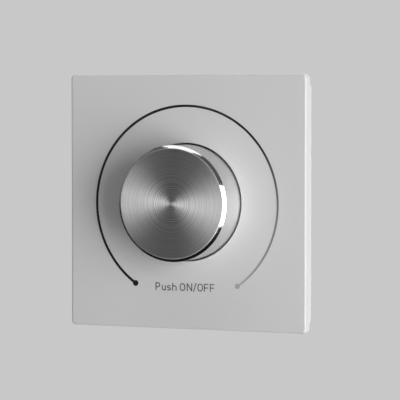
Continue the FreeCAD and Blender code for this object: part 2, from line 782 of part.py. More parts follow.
def triac_screw():
    seat = SINK_TAB_Z - TRIAC_TAB_T
    end = SINK_TAB_Z + SINK_T
    return screw_z(0, triac_hole_y(), seat, end, TRIAC_HOLE_R - 2 * HS_FREE, HS_HEAD_R, HS_HEAD_H)


def capacitor_place():
    return (-BOX_IN + BOARD_GAP + EDGE_ROOM / 2 + CAP_X / 2, 0.0)


def choke_place():
    x = BOX_IN - EDGE_ROOM - CHOKE_X / 2
    z = -BOX_IN + EDGE_ROOM + CHOKE_Z / 2 + CHOKE_WOUND
    return (x, z)


def fuse_place():
    x = -PIN_PITCH - PIN_W / 2 - EDGE_ROOM - FUSE_X / 2
    z = -SWITCH_W / 2 - EDGE_ROOM - FUSE_Z / 2
    return (x, z)


def small_capacitor_place():
    return (BOX_IN - EDGE_ROOM - SMALL_CAP_X / 2, EDGE_ROOM)


def resistor_places():
    x = SWITCH_W / 2 + EDGE_ROOM + RESISTOR_X / 2
    z = SWITCH_W / 2 + RESISTOR_Z
    return [(x, z + i * 2 * RESISTOR_Z) for i in range(RESISTORS)]


def diac_place():
    return (-BOX_IN + EDGE_ROOM + DIAC_L, SWITCH_W / 2 + EDGE_ROOM)


def standing(place, wide, thick, high):
    """Boxed component that stands on the board."""
    x, z = place
    return centred(x, z, wide, thick, BOARD_Y - high, BOARD_Y)


def film_capacitor():
    return standing(capacitor_place(), CAP_X, CAP_Z, CAP_H)


def timing_capacitor():
    return standing(small_capacitor_place(), SMALL_CAP_X, SMALL_CAP_Z, SMALL_CAP_H)


def fuse():
    return standing(fuse_place(), FUSE_X, FUSE_Z, FUSE_H)


def resistors():
    return Part.makeCompound([
        standing(place, RESISTOR_X, RESISTOR_Z, RESISTOR_H) for place in resistor_places()
    ])


def choke_core():
    """Closed core with three limbs, standing on the board."""
    x, z = choke_place()
    y0 = BOARD_Y - CHOKE_H
    core = centred(x, z, CHOKE_X, CHOKE_Z, y0, BOARD_Y)
    window = CHOKE_X / 2 - 2 * CHOKE_LIMB
    for side in (-1, 1):
        at = x + side * (CHOKE_LIMB + window / 2)
        core = core.cut(centred(at, z, window, CHOKE_Z, y0 + CHOKE_LIMB, BOARD_Y - CHOKE_LIMB))
    return core


def choke_winding():
    """Winding on the middle limb, inside the two windows and proud on both sides."""
    x, z = choke_place()
    y0 = BOARD_Y - CHOKE_H + CHOKE_LIMB + END_PLAY
    y1 = BOARD_Y - CHOKE_LIMB - END_PLAY
    inner_x = 2 * (CHOKE_LIMB + END_PLAY)
    inner_z = CHOKE_Z + 2 * END_PLAY
    outer_x = CHOKE_X - 2 * (CHOKE_LIMB + END_PLAY)
    outer_z = CHOKE_Z + 2 * CHOKE_WOUND
    coil = centred(x, z, outer_x, outer_z, y0, y1)
    return coil.cut(centred(x, z, inner_x, inner_z, y0, y1))


def diac():
    """Round glass body lying on the board, with its two leads bent down to it."""
    x, z = diac_place()
    y = BOARD_Y - DIAC_R
    half = DIAC_L / 2
    body = Part.makeCylinder(DIAC_R, DIAC_L, vec(x - half, y, z), vec(1, 0, 0))
    low = y - LEAD_W / 2
    high = y + LEAD_W / 2
    reach = half + 2 * LEAD_W
    wire = block(x - reach, x + reach, low, high, z - LEAD_W / 2, z + LEAD_W / 2)
    feet = [centred(x + s * (reach - LEAD_W / 2), z, LEAD_W, LEAD_W, low, BOARD_Y) for s in (-1, 1)]
    return body.fuse([wire] + feet).removeSplitter()


def pole_places():
    return [-POLE_PITCH / 2, POLE_PITCH / 2]


def cage_leg_z():
    return CAGE_TOP_Z - PIN_W / 2


def pin_hole(x, z, wide, high):
    """Hole through the board, a little larger than its pin."""
    return centred(x, z, wide + 2 * SLIDE_GAP, high + 2 * SLIDE_GAP, BOARD_Y, SOLDER_Y)


def circuit_board():
    """Board cut round the screw towers, with holes for the pins of the parts that stand on it."""
    board = pad(BOX_IN - BOARD_GAP, BOX_CORNER_R - BOX_WALL, BOARD_Y, SOLDER_Y)
    for x, z in tower_places():
        board = board.cut(corner_post(TOWER_R + BOARD_GAP, BOARD_Y, SOLDER_Y, x, z))
    holes = [pin_hole(x, z, LEAD_W, LEAD_W) for x, z in lead_places_triac()]
    holes += [pin_hole(x, terminal_pin_z(), PIN_W, PIN_T) for x in pin_places()]
    holes += [pin_hole(x, 0.0, PIN_W, PIN_T) for x in (-TIP_AT, TIP_AT)]
    holes += [pin_hole(x, cage_leg_z(), PIN_W, PIN_W) for x in pole_places()]
    return board.cut(holes).removeSplitter()


def block_half():
    return POLE_PITCH / 2 + CAGE_W / 2 + CAGE_GAP + BLOCK_WALL


def terminal_block():
    """Moulded block for two wires: entries at the back, screws from below."""
    half = block_half()
    body = block(-half, half, SOLDER_Y, BLOCK_Y, BLOCK_LOW_Z, BLOCK_TOP_Z)
    pocket_y0 = SOLDER_Y + BLOCK_WALL
    pocket_y1 = BLOCK_Y - ENTRY_WALL
    reach = CAGE_W / 2 + CAGE_GAP
    leg_room = PIN_W + 2 * SLIDE_GAP
    for x in pole_places():
        pocket_z = (CAGE_LOW_Z - CAGE_GAP, CAGE_TOP_Z + CAGE_GAP)
        body = body.cut(block(x - reach, x + reach, pocket_y0, pocket_y1, *pocket_z))
        body = body.cut(rod(ENTRY_R, pocket_y1, BLOCK_Y, x, WIRE_Z))
        body = body.cut(post(SCREW_HEAD_R + CAGE_GAP, BLOCK_LOW_Z, CAGE_LOW_Z, x, SCREW_Y))
        body = body.cut(centred(x, cage_leg_z(), leg_room, leg_room, SOLDER_Y, pocket_y0))
    return body.removeSplitter()


def wire_clamps():
    """Two brass cages, open front and back for the wire, each with a leg into the board."""
    cages = []
    half = CAGE_W / 2
    y0 = SCREW_Y - CAGE_L / 2
    y1 = SCREW_Y + CAGE_L / 2
    for x in pole_places():
        cage = block(x - half, x + half, y0, y1, CAGE_LOW_Z, CAGE_TOP_Z)
        room = half - CAGE_WALL
        room_z = (CAGE_LOW_Z + CAGE_WALL, CAGE_TOP_Z - CAGE_WALL)
        cage = cage.cut(block(x - room, x + room, y0, y1, *room_z))
        cage = cage.cut(post(SCREW_M_R + THREAD_GAP, CAGE_LOW_Z, CAGE_LOW_Z + CAGE_WALL, x, SCREW_Y))
        leg = centred(x, cage_leg_z(), PIN_W, PIN_W, BOARD_Y - LEAD_PROUD, y0)
        cages.append(cage.fuse(leg).removeSplitter())
    return Part.makeCompound(cages)


def terminal_screws():
    """Two screws driven from below, backed out so that the wire entries are free."""
    end = WIRE_Z - ENTRY_R - END_PLAY
    seat = CAGE_LOW_Z - END_PLAY
    return Part.makeCompound([
        screw_z(x, SCREW_Y, seat, end, SCREW_M_R, SCREW_HEAD_R, SCREW_HEAD_H) for x in pole_places()
    ])


def rear_housing():
    """Deep moulded box: screw towers, ledges under the board, window for the terminals, vents."""
    body = pad(BOX_HALF, BOX_CORNER_R, SINK_Y, BOX_Y)
    body = body.cut(pad(BOX_IN, BOX_CORNER_R - BOX_WALL, SINK_Y, FLOOR_Y))
    towers = [corner_post(TOWER_R, SINK_Y, FLOOR_Y, x, z) for x, z in tower_places()]
    ledge = block(BOX_IN - LEDGE_OUT, BOX_IN, SOLDER_Y, FLOOR_Y, -LEDGE_W / 2, LEDGE_W / 2)
    ledges = [turn_about_axis(ledge, turn) for turn in (0, 180, 270)]
    body = body.fuse(towers + ledges)
    body = body.common(pad(BOX_HALF, BOX_CORNER_R, SINK_Y, BOX_Y))
    for x, z in tower_places():
        body = body.cut(rod(HS_R + THREAD_GAP, SINK_Y, SINK_Y + HS_LENGTH, x, z))
    half = block_half() + BLOCK_GAP
    body = body.cut(block(-half, half, FLOOR_Y, BOX_Y, -BOX_IN, BLOCK_TOP_Z + BLOCK_GAP))
    reach = POLE_PITCH / 2 + SCREW_HEAD_R + CAGE_GAP
    tall = SCREW_HEAD_R + CAGE_GAP
    body = body.cut(block(-reach, reach, SCREW_Y - tall, SCREW_Y + tall, -BOX_HALF, -BOX_IN))
    for i in range(VENTS):
        body = body.cut(centred(0, i * VENT_PITCH, VENT_L, VENT_W, FLOOR_Y, BOX_Y))
    return body.removeSplitter()


def housing_screws():
    """Two screws from the front, through frame and heat sink into the towers."""
    screws = []
    top = RIM_Y - HS_HEAD_H
    for x, z in tower_places():
        head = rod(HS_HEAD_R, top, RIM_Y, x, z)
        shank = rod(HS_R, RIM_Y, SINK_Y + HS_LENGTH - END_PLAY, x, z)
        drive = centred(x, z, 2 * HS_HEAD_R, DRIVE_W, top, top + DRIVE_D)
        screws.append(head.fuse(shank).cut(drive).removeSplitter())
    return Part.makeCompound(screws)


def main():
    os.makedirs("parts", exist_ok=True)
    makers = [
        front_plate, mounting_frame, knob_cap, knob_core, shaft, shaft_ring,
        pot_bushing, pot_nut, pot_case, pot_rotor, wiper, track_plate, track_terminals,
        switch_case, switch_plunger, latch_pin, moving_contact, fixed_contacts, return_spring,
        heat_sink, triac_body, triac_tab, triac_screw, circuit_board, choke_core, choke_winding,
        film_capacitor, timing_capacitor, fuse, resistors, diac,
        terminal_block, wire_clamps, terminal_screws, rear_housing, housing_screws,
    ]
    for maker in makers:
        save(maker.__name__, maker())


main()
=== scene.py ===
# %% [markdown]
# # Dressing a rotary dimmer switch
#
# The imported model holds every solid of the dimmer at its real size. This lesson builds the surfaces that
# the eye sees first (the moulded plate, the turned knob, the printed arc and the words) as numpy shapes,
# gives every other solid a procedural finish, and lights it all like a product on a plain pale background.

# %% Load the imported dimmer
import json
import math

import bmesh
import bpy
import numpy as np
from mathutils import Matrix, Vector


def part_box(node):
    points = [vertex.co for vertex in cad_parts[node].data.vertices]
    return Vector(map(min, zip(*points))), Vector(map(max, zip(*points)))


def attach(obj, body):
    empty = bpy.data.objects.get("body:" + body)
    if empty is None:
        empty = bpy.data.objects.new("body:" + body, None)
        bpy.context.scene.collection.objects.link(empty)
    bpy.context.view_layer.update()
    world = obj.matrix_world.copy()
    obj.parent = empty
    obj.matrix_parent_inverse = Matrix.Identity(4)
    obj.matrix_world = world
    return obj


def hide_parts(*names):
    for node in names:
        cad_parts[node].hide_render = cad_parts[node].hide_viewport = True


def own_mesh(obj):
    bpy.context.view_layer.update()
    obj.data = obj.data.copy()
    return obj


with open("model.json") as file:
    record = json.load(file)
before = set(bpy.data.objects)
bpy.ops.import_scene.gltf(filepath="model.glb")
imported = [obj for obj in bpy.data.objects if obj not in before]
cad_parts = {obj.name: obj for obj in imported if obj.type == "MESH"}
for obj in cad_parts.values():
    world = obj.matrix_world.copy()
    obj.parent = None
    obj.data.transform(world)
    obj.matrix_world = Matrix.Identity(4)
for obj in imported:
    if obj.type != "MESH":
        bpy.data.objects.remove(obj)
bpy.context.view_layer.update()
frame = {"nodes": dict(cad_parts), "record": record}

MM = 0.001
NODES = frame["nodes"]
print("solids loaded:", len(NODES))

# %% [markdown]
# ## Sizes
#
# A dressed piece has to stand exactly where its solid stands, so the outer planes are read from the loaded
# solids. What a solid's box doesn't tell, such as the radius of the hole or the place of a rib, is a number
# here, and so is what the photograph adds, such as a fillet or the width of a printed line. All of them
# are in millimetres. The front looks along -Y, X runs to the right and Z up.

# %% Planes and radii
def extent(node):
    """Lowest and highest corner of a solid, in millimetres."""
    low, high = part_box(node)
    return np.array(low) / MM, np.array(high) / MM


PLATE_REAR = -1.6
TOP_WALL = 1.8
HOLE_R = 20.05
plate_low, plate_high = extent("front_plate")
knob_low, knob_high = extent("knob_cap")
HALF = plate_high[0]
FACE = plate_low[1]
INNER = FACE + TOP_WALL
KNOB_FRONT, KNOB_REAR, KNOB_R = knob_low[1], knob_high[1], knob_high[0]
print("plate half", round(HALF, 2), "face", round(FACE, 2), "knob", round(KNOB_R, 2), round(KNOB_FRONT, 2))

# %% [markdown]
# ## From arrays to a mesh
#
# Every new surface here is a grid: one profile in each row, one point of the profile in each column.
# Neighbouring rows and columns are joined by four-sided faces. A shell that is closed can be asked for its
# volume, which is negative if its faces point inwards, so the helper turns such a shell round by itself.

# %% Grid to faces
def grid_faces(rows, cols, loop_rows=False, loop_cols=True):
    """Faces of a grid: corner (i, j) is joined to (i+1, j), (i+1, j+1) and (i, j+1), and on round a loop."""
    index = np.arange(rows * cols).reshape(rows, cols)
    if loop_rows:
        index = np.vstack([index, index[:1]])
    if loop_cols:
        index = np.hstack([index, index[:, :1]])
    return np.stack([index[:-1, :-1], index[1:, :-1], index[1:, 1:], index[:-1, 1:]], -1).reshape(-1, 4)


def enclosed(points, faces):
    """Volume inside a shell: a sixth of the sum, over fans of triangles, of a · (b × c)."""
    total = 0.0
    for count in {len(f) for f in faces}:
        same = np.array([f for f in faces if len(f) == count])
        for k in range(1, count - 1):
            a, b, c = points[same[:, 0]], points[same[:, k]], points[same[:, k + 1]]
            total += np.einsum("ij,ij->i", a, np.cross(b, c)).sum() / 6
    return total


def outwards(points, faces):
    """The shell, its faces turned round if they point inwards."""
    return points, [f[::-1] for f in faces] if enclosed(points, faces) < 0 else faces


def shell(grid, loop_rows=False, caps=False):
    """Closed shell over a grid of points in millimetres, with flat ends if caps is set, faces outwards."""
    rows, cols = grid.shape[:2]
    points = grid.reshape(-1, 3)
    faces = grid_faces(rows, cols, loop_rows).tolist()
    if caps:
        faces.append(list(range(cols)))
        faces.append(list(range((rows - 1) * cols, rows * cols))[::-1])
    return outwards(points, faces)


base_corners = [(0, 0), (1, 0), (1, 1), (0, 1)]
cube = np.array([[(x, y, z) for x, y in base_corners] for z in (0, 1)], float)
print("volume of a unit cube:", round(enclosed(*shell(cube, caps=True)), 3))

# %% Faces to a piece on its body
def piece(name, shells, body, replaces=(), sharp=30.0):
    """One object from one or more shells, riding on a body."""
    points, faces, start = [], [], 0
    for shell_points, shell_faces in shells:
        points.append(shell_points)
        faces += [[k + start for k in f] for f in shell_faces]
        start += len(shell_points)
    mesh = bpy.data.meshes.new(name)
    mesh.from_pydata((np.concatenate(points) * MM).tolist(), [], faces)
    mesh.polygons.foreach_set("use_smooth", np.ones(len(mesh.polygons), bool))
    mesh.set_sharp_from_angle(angle=math.radians(sharp))
    mesh.update()
    made = bpy.data.objects.new(name, mesh)
    bpy.context.scene.collection.objects.link(made)
    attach(made, body)
    if replaces:
        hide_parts(*replaces)
    print(name, "faces", len(faces), "volume mm3", round(sum(enclosed(p, f) for p, f in shells), 1))
    return made


print("a piece is drawn in millimetres and stored in metres, times", MM)

# %% [markdown]
# ## The front plate
#
# The real plate is one moulding: a square face with a round hole, a soft front edge and a skirt. A box
# with a bevel would do, but the hole would need a boolean and its shading would suffer. Here the section
# of the plate (hole wall, face, edge, skirt, inside) is carried once round the square. Each step of the
# section is an outline: a circle at the hole, a rounded square at the edge, with the same number of
# points, so that the flat face is simply the band between the two.

# %% Outlines
def rounded_square(half, corner, side_steps=30, corner_steps=8):
    """(x, z) round a square: each side, then its quarter circle, reach + corner · (sin t, -cos t)."""
    reach = half - corner
    along = np.linspace(-reach, reach, side_steps, endpoint=False)
    turn = np.linspace(0, math.pi / 2, corner_steps, endpoint=False)
    side = np.stack([along, np.full(side_steps, -half)], 1)
    arc = np.stack([reach + corner * np.sin(turn), -reach - corner * np.cos(turn)], 1)
    quarter = np.concatenate([side, arc])
    quarter_turn = np.array([[0.0, 1.0], [-1.0, 0.0]])
    turns = [np.linalg.matrix_power(quarter_turn, k) for k in range(4)]
    return np.concatenate([quarter @ t for t in turns])


def circle_like(outline, radius):
    """The outline's points moved along their own directions from the centre onto a circle."""
    return outline / np.linalg.norm(outline, axis=1, keepdims=True) * radius


def at_depth(outline, y):
    """(x, z) points set on the plane at y."""
    return np.stack([outline[:, 0], np.full(len(outline), y), outline[:, 1]], 1)


print("outline points", len(rounded_square(HALF, 1.2)))

# %% The plate's section, carried round
CORNER = 1.2
EDGE = 0.55
HOLE_EDGE = 0.12
REAR_EDGE = 0.1
SKIRT = 1.5
SKIRT_CORNER = 0.3
# A row this far from an edge's arc keeps the shading of the flat beside it flat.
FACE_HOLD = 0.25
SIDE_HOLD = 0.2
REAR_HOLD = 0.1


def plate_rows():
    """Outlines from hole to skirt. An edge of radius r is a quarter circle, r · (1 - sin t, 1 - cos t)."""
    base = rounded_square(HALF, CORNER)
    quarter = [(math.sin(t), math.cos(t)) for t in np.linspace(0, math.pi / 2, 7)]

    def ring(radius, y):
        """Circle of the hole."""
        return at_depth(circle_like(base, radius), y)

    def square(inset, y):
        """The plate's outline, moved inwards."""
        return at_depth(rounded_square(HALF - inset, CORNER - inset), y)

    inside = rounded_square(HALF - SKIRT, SKIRT_CORNER)
    return np.stack([
        ring(HOLE_R, INNER),
        ring(HOLE_R, FACE + 2 * HOLE_EDGE),
        *(ring(HOLE_R + HOLE_EDGE * (1 - c), FACE + HOLE_EDGE * (1 - s)) for s, c in quarter),
        ring(HOLE_R + 3 * HOLE_EDGE, FACE),
        square(EDGE + FACE_HOLD, FACE),
        *(square(EDGE * (1 - s), FACE + EDGE * (1 - c)) for s, c in quarter),
        square(0, FACE + EDGE + SIDE_HOLD),
        square(0, PLATE_REAR - REAR_EDGE - REAR_HOLD),
        *(square(REAR_EDGE * (1 - c), PLATE_REAR - REAR_EDGE * (1 - s)) for s, c in quarter[::2]),
        at_depth(inside, PLATE_REAR),
        at_depth(inside, INNER),
    ])


print("plate section steps", len(plate_rows()))

# %% Legs and ribs inside the plate
LET_IN = 0.3
LEG_OUT = 38.2
LEG_THICK = 1.2
LEG_HALF = 3.5
LEG_END = -0.35
LEG_AT = 22
HOOK = 0.6
RIB_TOP = -2.6
RIB_OUT = 36.1
RIB_THICK = 0.9
RIB_END = 35.5
RIB_GAP = 4.65
# The upright ribs are this much thinner on each side, so that no face of theirs lies in a level rib's face.
RIB_SHY = 0.02


def prism(outline, z0, z1):
    """Straight prism over an (x, y) outline, from z0 to z1."""
    ends = [np.column_stack([outline, np.full(len(outline), z)]) for z in (z0, z1)]
    return shell(np.stack(ends), caps=True)


def leg(side, along):
    """One clip leg: a flat bar whose foot carries a wedge that points outwards."""
    top, back, wedge = INNER - LET_IN, LEG_OUT - LEG_THICK, LEG_END - HOOK
    outline = np.array([(back, top), (LEG_OUT, top), (LEG_OUT, wedge), (LEG_OUT + HOOK, wedge),
                        (LEG_OUT, LEG_END), (back, LEG_END)])
    return prism(outline * [side, 1], along - LEG_HALF, along + LEG_HALF)


def rib_bar(x0, x1, z0, z1):
    """One straight stretch of the stiffening rib, let into the plate's inner face."""
    top = INNER - LET_IN
    return prism(np.array([(x0, top), (x1, top), (x1, RIB_TOP), (x0, RIB_TOP)]), z0, z1)


legs = [leg(side, along) for side in (-1, 1) for along in (-LEG_AT, LEG_AT)]
rib_starts = np.array([-RIB_OUT, RIB_OUT - RIB_THICK])
ribs = [rib_bar(-RIB_OUT, RIB_OUT, z, z + RIB_THICK) for z in rib_starts]
ribs += [rib_bar(x, x + RIB_THICK - 2 * RIB_SHY, *span) for x in rib_starts + RIB_SHY
         for span in ((-RIB_END, -RIB_GAP), (RIB_GAP, RIB_END))]
plate_shells = [shell(plate_rows(), loop_rows=True), *legs, *ribs]
plate = piece("plate_shell", plate_shells, "base", ["front_plate"])

# %% [markdown]
# ## The knob
#
# The knob is a cup turned from aluminium. Its section is a list of corners (radius, depth). Each corner is
# broken by a small arc, and the section is turned about the Y axis. The two ends of the section lie on
# the axis, where the grid closes to a point, so they are joined by triangles.

# %% A section with broken corners
# A point this far before and after each arc keeps the shading of the straight sides straight.
HOLD = 0.03


def broken(corners, radii, steps=7):
    """Each corner becomes an arc of radius r touching both sides, its centre r / sin(half the angle) away."""
    corners = np.array(corners, float)
    out = [corners[:1]]
    for before, here, after, r in zip(corners, corners[1:], corners[2:], radii):
        a = (before - here) / np.linalg.norm(before - here)
        b = (after - here) / np.linalg.norm(after - here)
        half = math.acos(np.clip(a @ b, -1, 1)) / 2
        middle = (a + b) / np.linalg.norm(a + b)
        centre = here + middle * r / math.sin(half)
        start, end = here + a * r / math.tan(half), here + b * r / math.tan(half)
        blend = np.linspace(0, 1, steps)[:, None]
        chord = start * (1 - blend) + end * blend - centre
        out.append(start[None] + a * HOLD)
        out.append(centre + chord / np.linalg.norm(chord, axis=1, keepdims=True) * r)
        out.append(end[None] + b * HOLD)
    out.append(corners[-1:])
    return np.concatenate(out)


def revolved(section, segments=256):
    """Section (r, y) turned about Y: x = r · sin(angle), z = r · cos(angle). Its two ends are points."""
    angle = np.arange(segments) * 2 * math.pi / segments
    ring = section[1:-1]
    x = ring[:, :1] * np.sin(angle)
    z = ring[:, :1] * np.cos(angle)
    y = np.repeat(ring[:, 1:], segments, 1)
    rows = np.stack([x, y, z], -1).reshape(-1, 3)
    first_pole, last_pole = len(rows), len(rows) + 1
    around = np.arange(segments)
    ahead = np.roll(around, -1)
    last_row = len(rows) - segments
    faces = grid_faces(len(ring), segments).tolist()
    faces += np.stack([np.full(segments, first_pole), around, ahead], 1).tolist()
    faces += np.stack([np.full(segments, last_pole), ahead + last_row, around + last_row], 1).tolist()
    return outwards(np.concatenate([rows, [[0, section[0, 1], 0], [0, section[-1, 1], 0]]]), faces)


print("a broken corner has", len(broken([(0, 0), (1, 0), (1, 1)], [0.1])) - 2, "points")

# %% The knob's cup
CHAMFER_R = 18.42
CHAMFER_BACK = KNOB_FRONT + 0.9
WALL = 1.1
FLOOR = KNOB_FRONT + 1.4
CROWN = 0.03
CHAMFER_NORMAL = np.array([0.65, -0.76])
# Radii at the face's edge, the chamfer's crest and its back, the rim's two edges and the corner inside.
CUP_RADII = [0.34, 7.0, 0.06, 0.15, 0.15, 0.3]
FACE_RINGS = 24

chamfer_middle = np.array([CHAMFER_R + KNOB_R, KNOB_FRONT + CHAMFER_BACK]) / 2
crest = chamfer_middle + CROWN * CHAMFER_NORMAL
cup_corners = [(0, KNOB_FRONT), (CHAMFER_R, KNOB_FRONT), crest, (KNOB_R, CHAMFER_BACK), (KNOB_R, KNOB_REAR),
               (KNOB_R - WALL, KNOB_REAR), (KNOB_R - WALL, FLOOR), (0, FLOOR)]
cup = broken(cup_corners, CUP_RADII)
ring_radii = np.linspace(0.3, CHAMFER_R - 0.5, FACE_RINGS)
face_rings = np.stack([ring_radii, np.full(FACE_RINGS, KNOB_FRONT)], 1)
cup = np.concatenate([cup[:1], face_rings, cup[1:]])
knob = piece("knob_shell", [revolved(cup)], "knob", ["knob_cap"], sharp=40)

# %% [markdown]
# ## The printed arc
#
# The level arc is ink on the plate. It could be painted by a texture, but a real print has its own edge
# and its own thickness of a few hundredths of a millimetre, and a thin slab carries both. Its section is
# a flat rectangle carried along an arc. How far round a point lies is stored as the attribute "level",
# from 0 at the dark dot to 1 at the pale one, and the ink's colour reads it.

# %% Arc and dots
INK = 0.035
INK_SUNK = 0.02
ARC_R = 33.12
ARC_HALF = math.radians(145.7)
ARC_CENTRE = (-0.08, -0.58)
ARC_WIDTHS = [(-146, 0.88), (-20, 0.86), (0, 0.8), (40, 0.77), (80, 0.72), (110, 0.68)]
DOT_RADII = (1.0, 0.88)
DOT_RISE = 0.01


def ink_arc(radius, stops, steps=361):
    """Rectangle (radius ± width / 2, ink's foot to top) along the turn, with stops of (degrees, width)."""
    turn = np.linspace(-ARC_HALF, ARC_HALF, steps)
    width = np.interp(np.degrees(turn), *np.array(stops).T)
    section = np.array([(-0.5, INK_SUNK), (-0.5, -INK), (0.5, -INK), (0.5, INK_SUNK)])
    r = radius + section[None, :, 0] * width[:, None]
    x = ARC_CENTRE[0] + r * np.sin(turn)[:, None]
    z = ARC_CENTRE[1] + r * np.cos(turn)[:, None]
    y = FACE + np.repeat(section[None, :, 1], steps, 0)
    return shell(np.stack([x, y, z], -1), caps=True)


def ink_dot(turn, radius, steps=64):
    """Disc of ink on the arc: a circle at the ink's foot and another at its top, a little above the arc's."""
    around = np.linspace(0, 2 * math.pi, steps, endpoint=False)
    x = ARC_CENTRE[0] + ARC_R * math.sin(turn) + radius * np.sin(around)
    z = ARC_CENTRE[1] + ARC_R * math.cos(turn) + radius * np.cos(around)
    disc = np.stack([x, z], 1)
    return shell(np.stack([at_depth(disc, FACE + depth) for depth in (INK_SUNK, -INK - DOT_RISE)]), caps=True)


arc = piece("level_arc", [ink_arc(ARC_R, ARC_WIDTHS)], "base")
dot_shells = [ink_dot(turn, radius) for turn, radius in zip((-ARC_HALF, ARC_HALF), DOT_RADII)]
dots = piece("level_dots", dot_shells, "base")


def store_level(made):
    """Attribute: the turn of each vertex about the arc's centre, from 0 at one end to 1 at the other."""
    where = np.zeros(len(made.data.vertices) * 3)
    made.data.vertices.foreach_get("co", where)
    where = where.reshape(-1, 3) / MM
    turn = np.arctan2(where[:, 0] - ARC_CENTRE[0], where[:, 2] - ARC_CENTRE[1])
    level = made.data.attributes.new("level", "FLOAT", "POINT")
    level.data.foreach_set("value", ((turn + ARC_HALF) / (2 * ARC_HALF)).astype(np.float32))
    low, high = (round(math.degrees(end), 1) for end in (turn.min(), turn.max()))
    print(made.name, "runs from", low, "to", high, "degrees")


store_level(arc)
store_level(dots)

# %% [markdown]
# ## The words
#
# The words under the knob are plain engineering letters with one width of line. A text object would bring
# its own font, so each letter is a few strokes instead: straight runs and arcs, swept with a flat section.

# %% Strokes
STROKE = 0.33
CAPITAL = 2.65
SMALL = 1.83
BASE_LINE = -30.1
PEN = STROKE / 2
LAYER = 0.004


def bow(cx, cz, rx, rz, start, end, steps=17):
    """Arc of an ellipse: (cx + rx · cos t, cz + rz · sin t) for t from start to end in degrees."""
    t = np.radians(np.linspace(start, end, steps))
    return np.stack([cx + rx * np.cos(t), cz + rz * np.sin(t)], 1)


def line(*points):
    """Straight runs through the points."""
    return np.array(points, float)


def swept_stroke(path, rise=0.0, closed=False):
    """Flat slab along a path: each point moves half a stroke along the mitred normal, to either side."""
    ahead = np.roll(path, -1, 0) - path
    ahead /= np.maximum(np.linalg.norm(ahead, axis=1, keepdims=True), 1e-9)
    behind = np.roll(ahead, 1, 0)
    if not closed:
        ahead[-1] = behind[-1]
        behind[0] = ahead[0]
    normal = np.stack([-(ahead + behind)[:, 1], (ahead + behind)[:, 0]], 1)
    normal /= np.linalg.norm(normal, axis=1, keepdims=True)
    side = np.stack([-ahead[:, 1], ahead[:, 0]], 1)
    normal *= PEN / np.maximum((normal * side).sum(1, keepdims=True), 0.5)
    left, right = path + normal, path - normal
    foot, top = FACE + INK_SUNK, FACE - INK - rise
    corners = [(left, foot), (left, top), (right, top), (right, foot)]
    grid = np.stack([at_depth(where, depth) for where, depth in corners], 1)
    return shell(grid, loop_rows=closed, caps=not closed)


def strokes(letter, width, start=(0, 0)):
    """Slabs of a letter from start (x, z). They overlap, so each is LAYER higher than the one before."""
    return [swept_stroke(path + start, LAYER * order) for order, path in enumerate(letter(width))]


print("stroke", STROKE, "capital height", CAPITAL)

# %% Letters with bows
BOWL_FOOT = 1.15
BEND = 0.52


def stem(x, height=CAPITAL):
    """Upright stroke at x."""
    return line((x, 0), (x, height))


def letter_p(w):
    """Stem, and a half circle between two level runs."""
    r = (CAPITAL - PEN - BOWL_FOOT) / 2
    bowl = bow(w - PEN - r, BOWL_FOOT + r, r, r, 90, -90)
    return [stem(PEN), np.concatenate([line((PEN, CAPITAL - PEN)), bowl, line((PEN, BOWL_FOOT))])]


def letter_u(w):
    """Left side that ends in a half ellipse, and a stem."""
    bend = bow(w / 2, PEN + BEND, w / 2 - PEN, BEND, 180, 360)
    return [np.concatenate([line((PEN, SMALL)), bend]), stem(w - PEN, SMALL)]


def letter_s(w):
    """Two bows of an ellipse, one on the other."""
    r = w / 2 - PEN
    h = (SMALL - STROKE) / 4
    return [np.concatenate([bow(w / 2, PEN + 3 * h, r, h, 25, 270), bow(w / 2, PEN + h, r, h, 90, -155)[1:]])]


def letter_h(w):
    """Stem, and a half ellipse that ends in the right side."""
    bend = bow(w / 2, SMALL - PEN - BEND, w / 2 - PEN, BEND, 180, 0)
    return [stem(PEN), np.concatenate([bend, line((w - PEN, 0))])]


def letter_o(w):
    """Closed path: half circles above and below, with straight sides between them."""
    r = w / 2 - PEN
    top = bow(w / 2, CAPITAL - PEN - r, r, r, 0, 180)
    bottom = bow(w / 2, PEN + r, r, r, 180, 360)
    return np.concatenate([top, bottom])


print("bows are drawn in", len(letter_o(2)) // 2, "points")

# %% Straight letters
ARM = 1.27
ARM_SHORT = 0.15
OVERSHOOT = 0.15
DIAGONAL_INSET = 0.1


def letter_n(w):
    """Two stems with a diagonal between them."""
    diagonal = line((PEN, CAPITAL - DIAGONAL_INSET), (w - PEN, DIAGONAL_INSET))
    return [stem(PEN), diagonal, stem(w - PEN)]


def letter_f(w):
    """Stem and two arms."""
    return [stem(PEN), line((PEN, CAPITAL - PEN), (w, CAPITAL - PEN)), line((PEN, ARM), (w - ARM_SHORT, ARM))]


def slash(w):
    """Slanted stroke, a little taller than the capitals at both ends."""
    return [line((PEN, -OVERSHOOT), (w - PEN, CAPITAL + OVERSHOOT))]


print("slabs of N, F and slash:", [len(letter(1.6)) for letter in (letter_n, letter_f, slash)])

# %% Set the line of letters
# Each letter with its left edge and its width. The two letters O are closed paths and come after.
SETTING = [(letter_p, -11.33, 1.7), (letter_u, -9.03, 1.48), (letter_s, -7.11, 1.48),
           (letter_h, -5.15, 1.58), (letter_n, 0.2, 1.98), (slash, 2.51, 1.28),
           (letter_f, 6.5, 1.62), (letter_f, 8.69, 1.58)]
O_EDGES = (-2.38, 4.12)
O_WIDTH = 1.98
word_shells = []
for letter, left_edge, width in SETTING:
    word_shells += strokes(letter, width, (left_edge, BASE_LINE))
for left_edge in O_EDGES:
    word_shells.append(swept_stroke(letter_o(O_WIDTH) + [left_edge, BASE_LINE], closed=True))
words = piece("push_words", word_shells, "base")

# %% [markdown]
# The same strokes print the two plain marks over the wire entries on the back: an L for the live wire and
# an arrow for the wire to the lamp. They are drawn as on the front, turned half round the Z axis, so that
# they read from behind, and enlarged.

